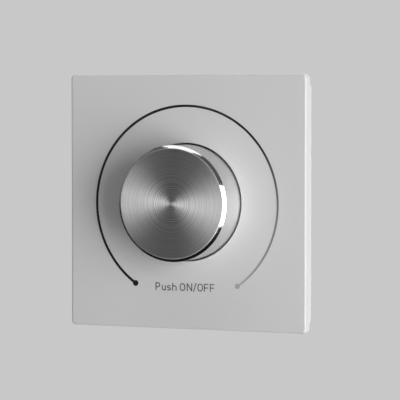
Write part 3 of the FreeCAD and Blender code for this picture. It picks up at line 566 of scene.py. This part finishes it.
# %% Marks over the wire entries
MARK_SIZE = 1.4
MARK_LINE = -11.2
ENTRY_AT = 4.1
BARB = 1.0
housing_back = extent("rear_housing")[1][1]


def letter_l(w):
    """Stem and foot in one stroke."""
    return [line((PEN, CAPITAL), (PEN, PEN), (w, PEN))]


def arrow(w):
    """Shaft, and the two barbs in one stroke."""
    return [line((w / 2, PEN), (w / 2, CAPITAL)), line((PEN, BARB), (w / 2, PEN), (w - PEN, BARB))]


def on_back(stroke, x, z):
    """Stroke on the housing's back: (x - size · x', back + face - y', z + size · z')."""
    points, faces = stroke
    return points * [-MARK_SIZE, -1, MARK_SIZE] + [x, housing_back + FACE, z], faces


mark_shells = []
for mark, centre, width in ((letter_l, ENTRY_AT, 1.4), (arrow, -ENTRY_AT, 1.7)):
    left_edge = centre + MARK_SIZE * width / 2
    mark_shells += [on_back(stroke, left_edge, MARK_LINE) for stroke in strokes(mark, width)]
marks = piece("wire_marks", mark_shells, "base")

# %% [markdown]
# ## Soft edges on the solids that show from behind
#
# The housing, the frame and the terminal block have the right shapes already, but a solid's edges are
# perfectly sharp and a real moulding's never are. Each gets a copy whose doubled points are merged, whose
# flat faces are joined, and whose edges a bevel then rounds by 0.12 to 0.25 mm.

# %% Copies with rounded edges
SLOTS = {s["node"]: s["material_slot"] for s in frame["record"]["subparts"]}
SOFT_EDGES = {"rear_housing": 0.25, "mounting_frame": 0.12, "terminal_block": 0.15}
DOUBLE_M = 1e-6
FLAT_DEG = 0.5
EDGE_DEG = 35


def softened(node, body, width):
    """Copy of a solid with its edges rounded by the width in millimetres, in the solid's place."""
    mesh = NODES[node].data.copy()
    mesh.name = node + "_soft"
    work = bmesh.new()
    work.from_mesh(mesh)
    bmesh.ops.remove_doubles(work, verts=work.verts, dist=DOUBLE_M)
    bmesh.ops.dissolve_limit(work, angle_limit=math.radians(FLAT_DEG), verts=work.verts, edges=work.edges)
    bmesh.ops.recalc_face_normals(work, faces=work.faces)
    work.to_mesh(mesh)
    work.free()
    mesh.polygons.foreach_set("use_smooth", np.ones(len(mesh.polygons), bool))
    made = bpy.data.objects.new(mesh.name, mesh)
    bpy.context.scene.collection.objects.link(made)
    round_off = made.modifiers.new("round_off", "BEVEL")
    round_off.width = width * MM
    round_off.segments = 2
    round_off.limit_method = "ANGLE"
    round_off.angle_limit = math.radians(EDGE_DEG)
    even = made.modifiers.new("even_normals", "WEIGHTED_NORMAL")
    even.keep_sharp = True
    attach(made, body)
    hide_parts(node)
    print(made.name, "points", len(mesh.vertices), "edge", width, "mm")
    return made


soft = {node: softened(node, "base", width) for node, width in SOFT_EDGES.items()}

# %% [markdown]
# ## The return spring
#
# The spring behind the plunger is the one piece that changes its shape when the knob is pressed. Here it
# is a round wire wound on a helix.

# %% Coil
WIRE = 0.4
TURNS = 4
spring_low, spring_high = extent("return_spring")
coil_radius = spring_high[0] - WIRE / 2
spring_length = spring_high[1] - spring_low[1]


def coil(steps=160, sides=12):
    """Wire on a helix: (reach · cos t, rise · t + w · sin s, reach · sin t), with reach = R + w · cos s."""
    w = WIRE / 2
    t = np.linspace(0, TURNS * 2 * math.pi, steps)[:, None]
    s = np.linspace(0, 2 * math.pi, sides, endpoint=False)[None, :]
    reach = coil_radius + w * np.cos(s)
    rise = (spring_length - WIRE) / (TURNS * 2 * math.pi)
    y = spring_low[1] + w + rise * t + w * np.sin(s)
    return shell(np.stack([reach * np.cos(t), y, reach * np.sin(t)], -1), caps=True)


spring = piece("return_coil", [coil()], "base", ["return_spring"], sharp=60)
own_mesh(spring)

# %% [markdown]
# ## Finishes
#
# What several finishes share is a node group: the grain of a moulding, the rings of a turned face and the
# lines of rolled or drawn metal. A group puts out what the surface needs, such as a colour, a roughness
# or a height, and each material keeps its own shader. The patterns read Object coordinates, in metres, so
# that they stay put on a piece that moves.

# %% Nodes and links
def plug(tree, node, values):
    """Each value goes to the input of its name: an output is linked to it, anything else is set on it."""
    for key, value in values.items():
        if isinstance(value, bpy.types.NodeSocket):
            tree.links.new(value, node.inputs[key])
        else:
            node.inputs[key].default_value = value


def add(tree, kind, values=None, **settings):
    """New node: the settings are its properties, and the values are plugged into its inputs."""
    made = tree.nodes.new(kind)
    for key, value in settings.items():
        setattr(made, key, value)
    plug(tree, made, values or {})
    return made


def maths(tree, operation, *values, clamp=False):
    """Result of a math node with one to three values."""
    made = add(tree, "ShaderNodeMath", dict(enumerate(values)), operation=operation, use_clamp=clamp)
    return made.outputs[0]


def mapped(tree, value, start, end, low, high):
    """Straight change of a value from start..end into low..high, held at both ends."""
    ends = {"Value": value, "From Min": start, "From Max": end, "To Min": low, "To Max": high}
    return add(tree, "ShaderNodeMapRange", ends).outputs["Result"]


print("helpers: plug, add, maths, mapped")

# %% Patterns and groups
def noise(tree, values, **settings):
    """Noise between 0 and 1."""
    return add(tree, "ShaderNodeTexNoise", values, **settings).outputs["Fac"]


def object_place(tree):
    """Object coordinates, in metres."""
    return add(tree, "ShaderNodeTexCoord").outputs["Object"]


def ramped(tree, value, stops):
    """Colour from a ramp with (position, colour) stops."""
    ramp = add(tree, "ShaderNodeValToRGB", {"Fac": value})
    elements = ramp.color_ramp.elements
    while len(elements) < len(stops):
        elements.new(1.0)
    for element, (position, colour) in zip(elements, stops):
        element.position = position
        element.color = (*colour, 1)
    return ramp.outputs["Color"]


def new_group(name, inputs, outputs):
    """Empty shader group with named sockets, what it is given, and its output node."""
    group = bpy.data.node_groups.new(name, "ShaderNodeTree")
    for label, kind, value in inputs:
        made = group.interface.new_socket(label, in_out="INPUT", socket_type="NodeSocket" + kind)
        made.default_value = value
    for label, kind in outputs:
        group.interface.new_socket(label, in_out="OUTPUT", socket_type="NodeSocket" + kind)
    return group, group.nodes.new("NodeGroupInput").outputs, group.nodes.new("NodeGroupOutput")


def shared(tree, group, values):
    """Outputs of a shared group that is given these values."""
    return add(tree, "ShaderNodeGroup", values, node_tree=group).outputs


print("helpers: noise, object_place, ramped, new_group, shared")

# %% Grain of a moulding
def moulding_group():
    """Colour · (1 + unevenness · slow noise), roughness + unevenness · slow noise, height = fine noise."""
    group, given, out = new_group(
        "moulded_surface",
        [("Colour", "Color", (0.7, 0.7, 0.7, 1)), ("Roughness", "Float", 0.5), ("Grain", "Float", 3000.0),
         ("Unevenness", "Float", 0.04)],
        [("Colour", "Color"), ("Roughness", "Float"), ("Height", "Float")])
    place = object_place(group)
    fine = noise(group, {"Vector": place, "Scale": given["Grain"], "Detail": 3.0, "Roughness": 0.6})
    slow = noise(group, {"Vector": place, "Scale": 55.0, "Detail": 4.0, "Roughness": 0.55})
    uneven = maths(group, "MULTIPLY", maths(group, "SUBTRACT", slow, 0.5), given["Unevenness"])
    tint = add(group, "ShaderNodeVectorMath", {0: given["Colour"], "Scale": maths(group, "ADD", uneven, 1.0)},
               operation="SCALE")
    rough = maths(group, "ADD", given["Roughness"], uneven, clamp=True)
    plug(group, out, {"Colour": tint.outputs[0], "Roughness": rough, "Height": fine})
    return group


MOULDED = moulding_group()
print("group", MOULDED.name)

# %% Rings of a turned face
def turned_group():
    """Noise of the radius sqrt(x² + z²) alone: fine rings, coarse bands, and the radius itself for masks."""
    group, given, out = new_group(
        "turned_rings", [("Fine", "Float", 9000.0), ("Coarse", "Float", 1500.0)],
        [("Height", "Float"), ("Bands", "Float"), ("Radius", "Float")])
    flat = add(group, "ShaderNodeVectorMath", {0: object_place(group), 1: (1, 0, 1)}, operation="MULTIPLY")
    length = add(group, "ShaderNodeVectorMath", {0: flat.outputs[0]}, operation="LENGTH")
    radius = length.outputs["Value"]
    for scale, label in (("Fine", "Height"), ("Coarse", "Bands")):
        values = {"W": radius, "Scale": given[scale], "Detail": 4.0, "Roughness": 0.65}
        plug(group, out, {label: noise(group, values, noise_dimensions="1D")})
    plug(group, out, {"Radius": radius})
    return group


TURNED = turned_group()
print("group", TURNED.name)

# %% Lines of drawn or rolled metal
def drawn_group():
    """Noise of (x · a, y · b, z · c), long where the stretch is small, and roughness + spread · noise."""
    group, given, out = new_group(
        "drawn_lines", [("Stretch", "Vector", (1.0, 0.05, 1.0)), ("Scale", "Float", 4000.0),
                        ("Roughness", "Float", 0.35), ("Spread", "Float", 0.15)],
        [("Height", "Float"), ("Roughness", "Float")])
    stretched = add(group, "ShaderNodeVectorMath", {0: object_place(group), 1: given["Stretch"]},
                    operation="MULTIPLY")
    lines = noise(group, {"Vector": stretched.outputs[0], "Scale": given["Scale"], "Detail": 5.0,
                          "Roughness": 0.6})
    rough = maths(group, "MULTIPLY_ADD", lines, given["Spread"], given["Roughness"])
    plug(group, out, {"Height": lines, "Roughness": rough})
    return group


DRAWN = drawn_group()
print("group", DRAWN.name)

# %% [markdown]
# ## Materials
#
# A moulded part and a drawn metal part are each a short function with its own numbers. The knob needs
# four finishes of the same aluminium: spun on the face, polished on the chamfer, turned on the side, and
# bead blasted on the fine break between face and chamfer.

# %% Moulded and drawn surfaces
def start_material(name, values):
    """Material with its shader, whose fixed inputs are set here, and its tree."""
    made = bpy.data.materials.new(name)
    made.use_nodes = True
    shader = made.node_tree.nodes["Principled BSDF"]
    plug(made.node_tree, shader, values)
    return made, made.node_tree, shader


def bumped(tree, shader, height, depth):
    """Height to the shader's normal. The depth is the height of the pattern in metres."""
    bump = add(tree, "ShaderNodeBump", {"Strength": 1.0, "Distance": depth, "Height": height})
    plug(tree, shader, {"Normal": bump.outputs["Normal"]})


def moulded(name, colour, roughness, grain=3000.0, depth=2e-6, uneven=0.05):
    """Plastic, paint, resin or sintered surface with a fine grain."""
    made, tree, shader = start_material(name, {})
    surface = shared(tree, MOULDED, {"Colour": (*colour, 1), "Roughness": roughness, "Grain": grain,
                                     "Unevenness": uneven})
    plug(tree, shader, {"Base Color": surface["Colour"], "Roughness": surface["Roughness"]})
    bumped(tree, shader, surface["Height"], depth)
    return made


def drawn(name, colour, roughness, stretch=(1.0, 0.05, 1.0), scale=4000.0):
    """Metal with the lines of drawing or rolling, or with an even plating where the stretch is even."""
    made, tree, shader = start_material(name, {"Metallic": 1.0, "Base Color": (*colour, 1)})
    surface = shared(tree, DRAWN, {"Stretch": stretch, "Scale": scale, "Roughness": roughness,
                                   "Spread": 0.15})
    plug(tree, shader, {"Roughness": surface["Roughness"]})
    bumped(tree, shader, surface["Height"], 2e-6)
    return made


print("material helpers ready")

# %% Finishes of the record's slots
finishes = {
    "plate": moulded("plate_moulding", (0.7, 0.7, 0.7), 0.62, 2600.0, 3e-6, 0.02),
    "frame": moulded("frame_moulding", (0.72, 0.72, 0.72), 0.6, 2600.0, 3e-6, 0.02),
    "core_plastic": moulded("core_moulding", (0.1, 0.1, 0.1), 0.5),
    "black_plastic": moulded("black_moulding", (0.04, 0.04, 0.042), 0.42),
    "rotor_plastic": moulded("rotor_moulding", (0.5, 0.48, 0.42), 0.45),
    "phenolic": moulded("phenolic_sheet", (0.3, 0.16, 0.07), 0.5, 1500.0, 4e-6, 0.3),
    "switch_plastic": moulded("switch_moulding", (0.16, 0.16, 0.17), 0.45),
    "plunger_plastic": moulded("plunger_nylon", (0.76, 0.73, 0.64), 0.4, 1200.0, 2e-6, 0.04),
    "board": moulded("board_laminate", (0.05, 0.2, 0.08), 0.3, 2200.0, 3e-6, 0.25),
    "ferrite": moulded("ferrite_sinter", (0.09, 0.09, 0.1), 0.55, 5000.0, 6e-6, 0.2),
    "capacitor_case": moulded("capacitor_moulding", (0.62, 0.47, 0.08), 0.25),
    "capacitor_dip": moulded("capacitor_dip", (0.42, 0.08, 0.03), 0.2, 500.0, 1e-5, 0.15),
    "block_plastic": moulded("block_moulding", (0.5, 0.5, 0.5), 0.5),
    "housing_plastic": moulded("housing_moulding", (0.12, 0.12, 0.125), 0.5, 2000.0, 8e-6, 0.08),
    "shaft_steel": drawn("shaft_rod", (0.6, 0.6, 0.6), 0.25),
    "spring_steel": drawn("spring_wire", (0.5, 0.5, 0.51), 0.25),
    "plated_brass": drawn("nickel_plate", (0.68, 0.65, 0.56), 0.28, (1.0, 1.0, 1.0), 900.0),
    "contact_bronze": drawn("bronze_strip", (0.72, 0.5, 0.27), 0.3, (0.05, 1.0, 1.0)),
    "tinned_brass": drawn("tin_plate", (0.7, 0.7, 0.67), 0.32, (1.0, 0.2, 1.0), 1500.0),
    "sheet_aluminium": drawn("rolled_sheet", (0.75, 0.75, 0.76), 0.32, (0.04, 1.0, 1.0)),
    "zinc_steel": drawn("zinc_plate", (0.6, 0.61, 0.64), 0.3, (1.0, 1.0, 1.0), 1400.0),
    "enamelled_wire": drawn("enamel_wire", (0.62, 0.24, 0.1), 0.25, (1.0, 1.0, 0.1), 2500.0),
    "clamp_brass": drawn("brass_clamp", (0.78, 0.6, 0.28), 0.3, (0.1, 1.0, 1.0), 2500.0),
}
print("finishes", len(finishes))

# %% Glass of the small diode
def banded_glass():
    """Brown glass with dark bands, where sin(1400 · x) is high."""
    made, tree, shader = start_material("diode_glass", {"Roughness": 0.05, "IOR": 1.5})
    split = add(tree, "ShaderNodeSeparateXYZ", {0: object_place(tree)})
    band = maths(tree, "SINE", maths(tree, "MULTIPLY", split.outputs["X"], 1400.0))
    bands = [(0.0, (0.45, 0.2, 0.08)), (0.5, (0.03, 0.04, 0.12))]
    plug(tree, shader, {"Base Color": ramped(tree, band, bands)})
    return made


finishes["diode_glass"] = banded_glass()
print("finishes", len(finishes))

# %% Spun face and polished chamfer
def lathe_direction(tree):
    """Tangent round the Y axis."""
    return add(tree, "ShaderNodeTangent", direction_type="RADIAL", axis="Y").outputs["Tangent"]


def spun_face():
    """Grooves run round the axis, so the highlight is stretched across them, along the radius."""
    made, tree, shader = start_material(
        "spun_aluminium", {"Metallic": 1.0, "Anisotropic": 0.78, "Anisotropic Rotation": 0.25})
    rings = shared(tree, TURNED, {"Fine": 2600.0, "Coarse": 700.0})
    centred = maths(tree, "SUBTRACT", rings["Height"], 0.47)
    contrast = mapped(tree, rings["Radius"], 0.008, 0.012, 1.35, 0.45)
    tone = maths(tree, "MULTIPLY_ADD", centred, contrast, 0.71, clamp=True)
    rough = mapped(tree, rings["Bands"], 0.3, 0.7, 0.56, 0.66)
    plug(tree, shader, {"Base Color": tone, "Roughness": rough, "Tangent": lathe_direction(tree)})
    scratches = noise(tree, {"Vector": object_place(tree), "Scale": 16000.0, "Detail": 1.0})
    bumped(tree, shader, maths(tree, "MULTIPLY_ADD", rings["Height"], 0.3, scratches), 5e-5)
    return made


def polished_chamfer():
    """Nearly a mirror, with the last of the rings in its roughness."""
    made, tree, shader = start_material(
        "polished_aluminium", {"Base Color": (0.9, 0.9, 0.91, 1), "Metallic": 1.0})
    rings = shared(tree, TURNED, {})
    plug(tree, shader, {"Roughness": mapped(tree, rings["Height"], 0.0, 1.0, 0.06, 0.14)})
    bumped(tree, shader, rings["Bands"], 2e-7)
    return made


knob_faces = [spun_face(), polished_chamfer()]
print("front of the knob", [made.name for made in knob_faces])

# %% Turned side and blasted edge
def turned_side():
    """Lathe lines run round the side as well: the highlight is long across them and narrow round the knob."""
    made, tree, shader = start_material(
        "satin_aluminium", {"Metallic": 1.0, "Base Color": (0.79, 0.79, 0.795, 1), "Anisotropic": 0.8,
                            "Anisotropic Rotation": 0.25})
    lines = shared(tree, DRAWN, {"Stretch": (0.04, 1.0, 0.04), "Scale": 2600.0, "Roughness": 0.3,
                                 "Spread": 0.08})
    plug(tree, shader, {"Roughness": lines["Roughness"], "Tangent": lathe_direction(tree)})
    bumped(tree, shader, lines["Height"], 2e-6)
    return made


def edge_break():
    """The fine break between face and chamfer is bead blasted, so it scatters light nearly like paint."""
    made, tree, shader = start_material(
        "blasted_edge", {"Base Color": (0.95, 0.95, 0.95, 1), "Metallic": 0.62})
    surface = shared(tree, MOULDED, {"Roughness": 0.42, "Grain": 9000.0})
    plug(tree, shader, {"Roughness": surface["Roughness"]})
    bumped(tree, shader, surface["Height"], 3e-6)
    return made


knob_faces += [turned_side(), edge_break()]
SPUN, POLISHED, SATIN, BLASTED = range(4)
finishes["knob_metal"] = knob_faces[SATIN]
print("knob finishes", [made.name for made in knob_faces])

# %% Which part of the knob wears which finish
# The face looks along -Y within two and a half degrees, the chamfer is tilted by more than 35 degrees.
FACE_NORMAL = -0.999
CHAMFER_LIMIT = -0.82


def per_face(polygons, name):
    """One three-part value of every face."""
    values = np.zeros(len(polygons) * 3)
    polygons.foreach_get(name, values)
    return values.reshape(-1, 3)


for made in knob_faces:
    knob.data.materials.append(made)
polygons = knob.data.polygons
facing = per_face(polygons, "normal")[:, 1]
front = per_face(polygons, "center")[:, 1] / MM < CHAMFER_BACK + 0.05
tilted = front & (facing > CHAMFER_LIMIT)
flat = front & (facing < FACE_NORMAL)
edge = front & ~tilted & ~flat
finish_index = np.select([flat, tilted, edge], [SPUN, POLISHED, BLASTED], SATIN).astype(np.int32)
polygons.foreach_set("material_index", finish_index)
print("knob faces spun, polished, satin, edge:", np.bincount(finish_index))

# %% Ink
def ink(name, stops):
    """Ink whose grey follows the attribute level through a ramp of (place, grey) stops."""
    made, tree, shader = start_material(name, {"Roughness": 0.5})
    level = add(tree, "ShaderNodeAttribute", attribute_name="level").outputs["Fac"]
    greys = [(place, (grey, grey, grey)) for place, grey in stops]
    plug(tree, shader, {"Base Color": ramped(tree, level, greys)})
    return made


level_ink = ink("level_ink", [(0.0, 0.012), (0.62, 0.016), (0.68, 0.028), (0.706, 0.048), (0.775, 0.13),
                              (0.843, 0.21), (0.912, 0.29), (0.98, 0.43), (1.0, 0.45)])
dot_ink = ink("dot_ink", [(0.0, 0.012), (1.0, 0.42)])
word_ink = moulded("word_ink", (0.1, 0.1, 0.1), 0.5, 4000.0, 1e-6, 0.1)
mark_ink = moulded("mark_ink", (0.5, 0.5, 0.49), 0.5, 4000.0, 1e-6, 0.1)
print("inks", level_ink.name, dot_ink.name, word_ink.name, mark_ink.name)

# %% Every piece and every solid gets its finish
def dress(made, material):
    """The one material of a piece."""
    made.data.materials.clear()
    made.data.materials.append(material)


for made, material in ((arc, level_ink), (dots, dot_ink), (words, word_ink), (marks, mark_ink),
                       (plate, finishes["plate"])):
    dress(made, material)
for name, made in (*soft.items(), ("return_spring", spring), *NODES.items()):
    dress(made, finishes[SLOTS[name]])
print("dressed solids", len(SLOTS))

# %% [markdown]
# ## Camera
#
# The camera was fitted to the four corners of the plate, whose true size is known: a long lens, turned
# 22.7 degrees to the right and 2.6 degrees up.

# %% Camera
AZIMUTH, ELEVATION = math.radians(22.68), math.radians(2.6)
AIM = Vector((5.036, -5.2, 0.832)) * MM
DISTANCE = 0.7925

camera = bpy.data.objects.new("camera", bpy.data.cameras.new("camera"))
bpy.context.scene.collection.objects.link(camera)
bpy.context.scene.camera = camera
camera.data.lens = 211.7
camera.data.sensor_width = 36.0
camera.data.clip_start = 0.01
back = Vector((math.sin(AZIMUTH) * math.cos(ELEVATION), -math.cos(AZIMUTH) * math.cos(ELEVATION),
               math.sin(ELEVATION)))
camera.location = AIM + back * DISTANCE
camera.rotation_euler = (-back).to_track_quat("-Z", "Y").to_euler()
print("camera at", [round(v, 3) for v in camera.location])

# %% [markdown]
# ## Light
#
# One tall softbox stands to the right of the camera, so the plate is evenly lit and the knob throws a soft
# shadow to the left. A weak panel above fills the matt surfaces alone, and a low card to the right is seen
# by reflections alone, where it brightens the lower right of the knob. A fourth lamp behind the dimmer
# lights its back, and the plate keeps that light off the front. The background is a plain grey. A dark
# tent round the set, which only reflections see, keeps the polished metal from turning pale, as the black
# cloth in a product studio does.

# %% Softbox, panel, card and rear lamp
def lamp(name, direction, distance, width, height, watts):
    """Rectangular lamp in a direction from the dimmer, facing it, its width level."""
    made = bpy.data.objects.new(name, bpy.data.lights.new(name, "AREA"))
    made.data.shape = "RECTANGLE"
    made.data.size = width
    made.data.size_y = height
    made.data.energy = watts
    z = Vector(direction).normalized()
    x = Vector((0, 0, 1)).cross(z).normalized()
    turned = Matrix((x, z.cross(x), z)).transposed().to_4x4()
    made.matrix_world = Matrix.Translation(z * distance) @ turned
    bpy.context.scene.collection.objects.link(made)
    return made


def bearing(azimuth_deg, elevation_deg):
    """Direction from the dimmer: azimuth from the front towards the right, elevation upwards."""
    a, e = math.radians(azimuth_deg), math.radians(elevation_deg)
    return (math.sin(a) * math.cos(e), -math.cos(a) * math.cos(e), math.sin(e))


key = lamp("softbox", bearing(62, -4.3), 1.1, 0.8, 1.02, 15.0)
top = lamp("top_panel", (-0.2, -0.27, 0.9), 0.55, 0.4, 0.2, 0.6)
top.visible_glossy = False
card = lamp("low_card", bearing(36, -26), 1.1, 0.34, 0.5, 2.6)
card.visible_diffuse = False
rear = lamp("rear_panel", bearing(200, 34), 1.0, 0.6, 0.5, 7.0)
print("lamps", key.name, top.name, card.name, rear.name)

# %% World
BACKGROUND = 0.578
FILL = 0.19

world = bpy.data.worlds.new("studio")
bpy.context.scene.world = world
world.use_nodes = True
tree = world.node_tree
tree.nodes.clear()
seen, fill = [add(tree, "ShaderNodeBackground", {"Color": (grey, grey, grey, 1), "Strength": 1.0}).outputs[0]
              for grey in (BACKGROUND, FILL)]
rays = add(tree, "ShaderNodeLightPath").outputs
either = maths(tree, "MAXIMUM", rays["Is Camera Ray"], rays["Is Glossy Ray"])
any_of = maths(tree, "MAXIMUM", either, rays["Is Transmission Ray"])
mix = add(tree, "ShaderNodeMixShader", {"Fac": any_of, 1: fill, 2: seen})
add(tree, "ShaderNodeOutputWorld", {"Surface": mix.outputs[0]})
bpy.context.scene.view_settings.view_transform = "Standard"
print("background grey", BACKGROUND)

# %% Floor
# Lamps, floor and tent stand in metres.
FLOOR_Z = -1.0
FLOOR_R = 5.0
FLOOR_SIDES = 96
FLOOR_SEEN = 0.42


def stage_mesh(name, points, faces, material):
    """Part of the set, which isn't part of the dimmer."""
    mesh = bpy.data.meshes.new(name)
    mesh.from_pydata(points, [], faces)
    mesh.materials.append(material)
    made = bpy.data.objects.new(name, mesh)
    bpy.context.scene.collection.objects.link(made)
    return made


turn = np.linspace(0, 2 * math.pi, FLOOR_SIDES, endpoint=False)
disc = np.stack([FLOOR_R * np.cos(turn), FLOOR_R * np.sin(turn), np.full(FLOOR_SIDES, FLOOR_Z)], 1)
floor_paint = moulded("floor_paint", (0.62, 0.62, 0.62), 0.8)
# Some light of its own, for the camera alone, keeps the floor as pale as the background.
tree = floor_paint.node_tree
to_camera = add(tree, "ShaderNodeLightPath").outputs["Is Camera Ray"]
plug(tree, tree.nodes["Principled BSDF"],
     {"Emission Color": (FLOOR_SEEN, FLOOR_SEEN, FLOOR_SEEN, 1), "Emission Strength": to_camera})
stage_mesh("floor", disc.tolist(), [list(range(FLOOR_SIDES))], floor_paint)
print("floor at", FLOOR_Z)

# %% Tent
TENT = 1.35
TENT_FOOT = FLOOR_Z + 0.01


def glow_material(name, strength):
    """Material that only emits, and its emission node."""
    made = bpy.data.materials.new(name)
    made.use_nodes = True
    made.node_tree.nodes.clear()
    light = add(made.node_tree, "ShaderNodeEmission", {"Strength": strength})
    add(made.node_tree, "ShaderNodeOutputMaterial", {"Surface": light.outputs[0]})
    return made, light


def only_in_reflections(made):
    """Hidden from the camera and from matt surfaces, and without a shadow."""
    made.visible_camera = False
    made.visible_diffuse = False
    made.visible_transmission = False
    made.visible_shadow = False


cloth, glow = glow_material("tent_cloth", 1.0)
tree = cloth.node_tree
x, y, z = add(tree, "ShaderNodeSeparateXYZ", {0: object_place(tree)}).outputs
# The left wall glows faintly behind the plate's plane, a quarter as much low down. All walls grow a
# little brighter upwards, and the rear wall gives the back of the dimmer something to mirror.
left = maths(tree, "MULTIPLY", mapped(tree, x, -1.3, -1.32, 0, 1), mapped(tree, y, -0.05, 0.1, 0, 0.13))
less_below = mapped(tree, z, -0.14, 0.0, 0.25, 1)
wall = maths(tree, "MULTIPLY_ADD", left, less_below, mapped(tree, z, 0.1, 1.2, 0.009, 0.085))
plug(tree, glow, {"Color": maths(tree, "ADD", wall, mapped(tree, y, 1.3, 1.32, 0, 0.3))})

signs = np.array([(x, y, z) for x in (-1, 1) for y in (-1, 1) for z in (0, 1)], float)
tent_points = signs * [TENT, TENT, 1]
tent_points[:, 2] = np.where(signs[:, 2] > 0, TENT, TENT_FOOT)
tent_faces = [(0, 1, 3, 2), (4, 6, 7, 5), (0, 4, 5, 1), (2, 3, 7, 6), (1, 5, 7, 3), (0, 2, 6, 4)]
only_in_reflections(stage_mesh("tent", tent_points.tolist(), tent_faces, cloth))
print("tent half", TENT)

# %% Strip that the chamfer mirrors
STRIP_Z = 0.5
STRIP_STEPS = 13


def mirrored(turn_deg, tilt_deg):
    """Where the chamfer sends the camera's ray: r = 2 (n · v) n - v, met with the strip's plane."""
    a, t = np.radians(turn_deg), np.radians(tilt_deg)
    n = np.stack([np.sin(t) * np.sin(a), -np.cos(t), np.sin(t) * np.cos(a)], -1)
    v = np.array(back)
    r = 2 * (n @ v)[..., None] * n - v
    return r / r[..., 2:] * STRIP_Z


# The bright line runs from the top of the chamfer to the right and narrows to a point at both ends. Its two
# edges lie where the crowned chamfer is tilted by 37 and by 44 degrees.
across = np.linspace(0, 1, STRIP_STEPS)
front_edge = mirrored(-2 + 24 * across, np.full(STRIP_STEPS, 37.0))
rear_edge = mirrored(-11 + 47 * across, np.full(STRIP_STEPS, 44.0))
strip_points = np.stack([front_edge, rear_edge])
strip_faces = grid_faces(2, STRIP_STEPS, loop_cols=False).tolist()
strip_glow, _ = glow_material("strip_glow", 1.15)
only_in_reflections(stage_mesh("strip", strip_points.reshape(-1, 3).tolist(), strip_faces, strip_glow))
print("strip spans", strip_points.min((0, 1)).round(3), strip_points.max((0, 1)).round(3))
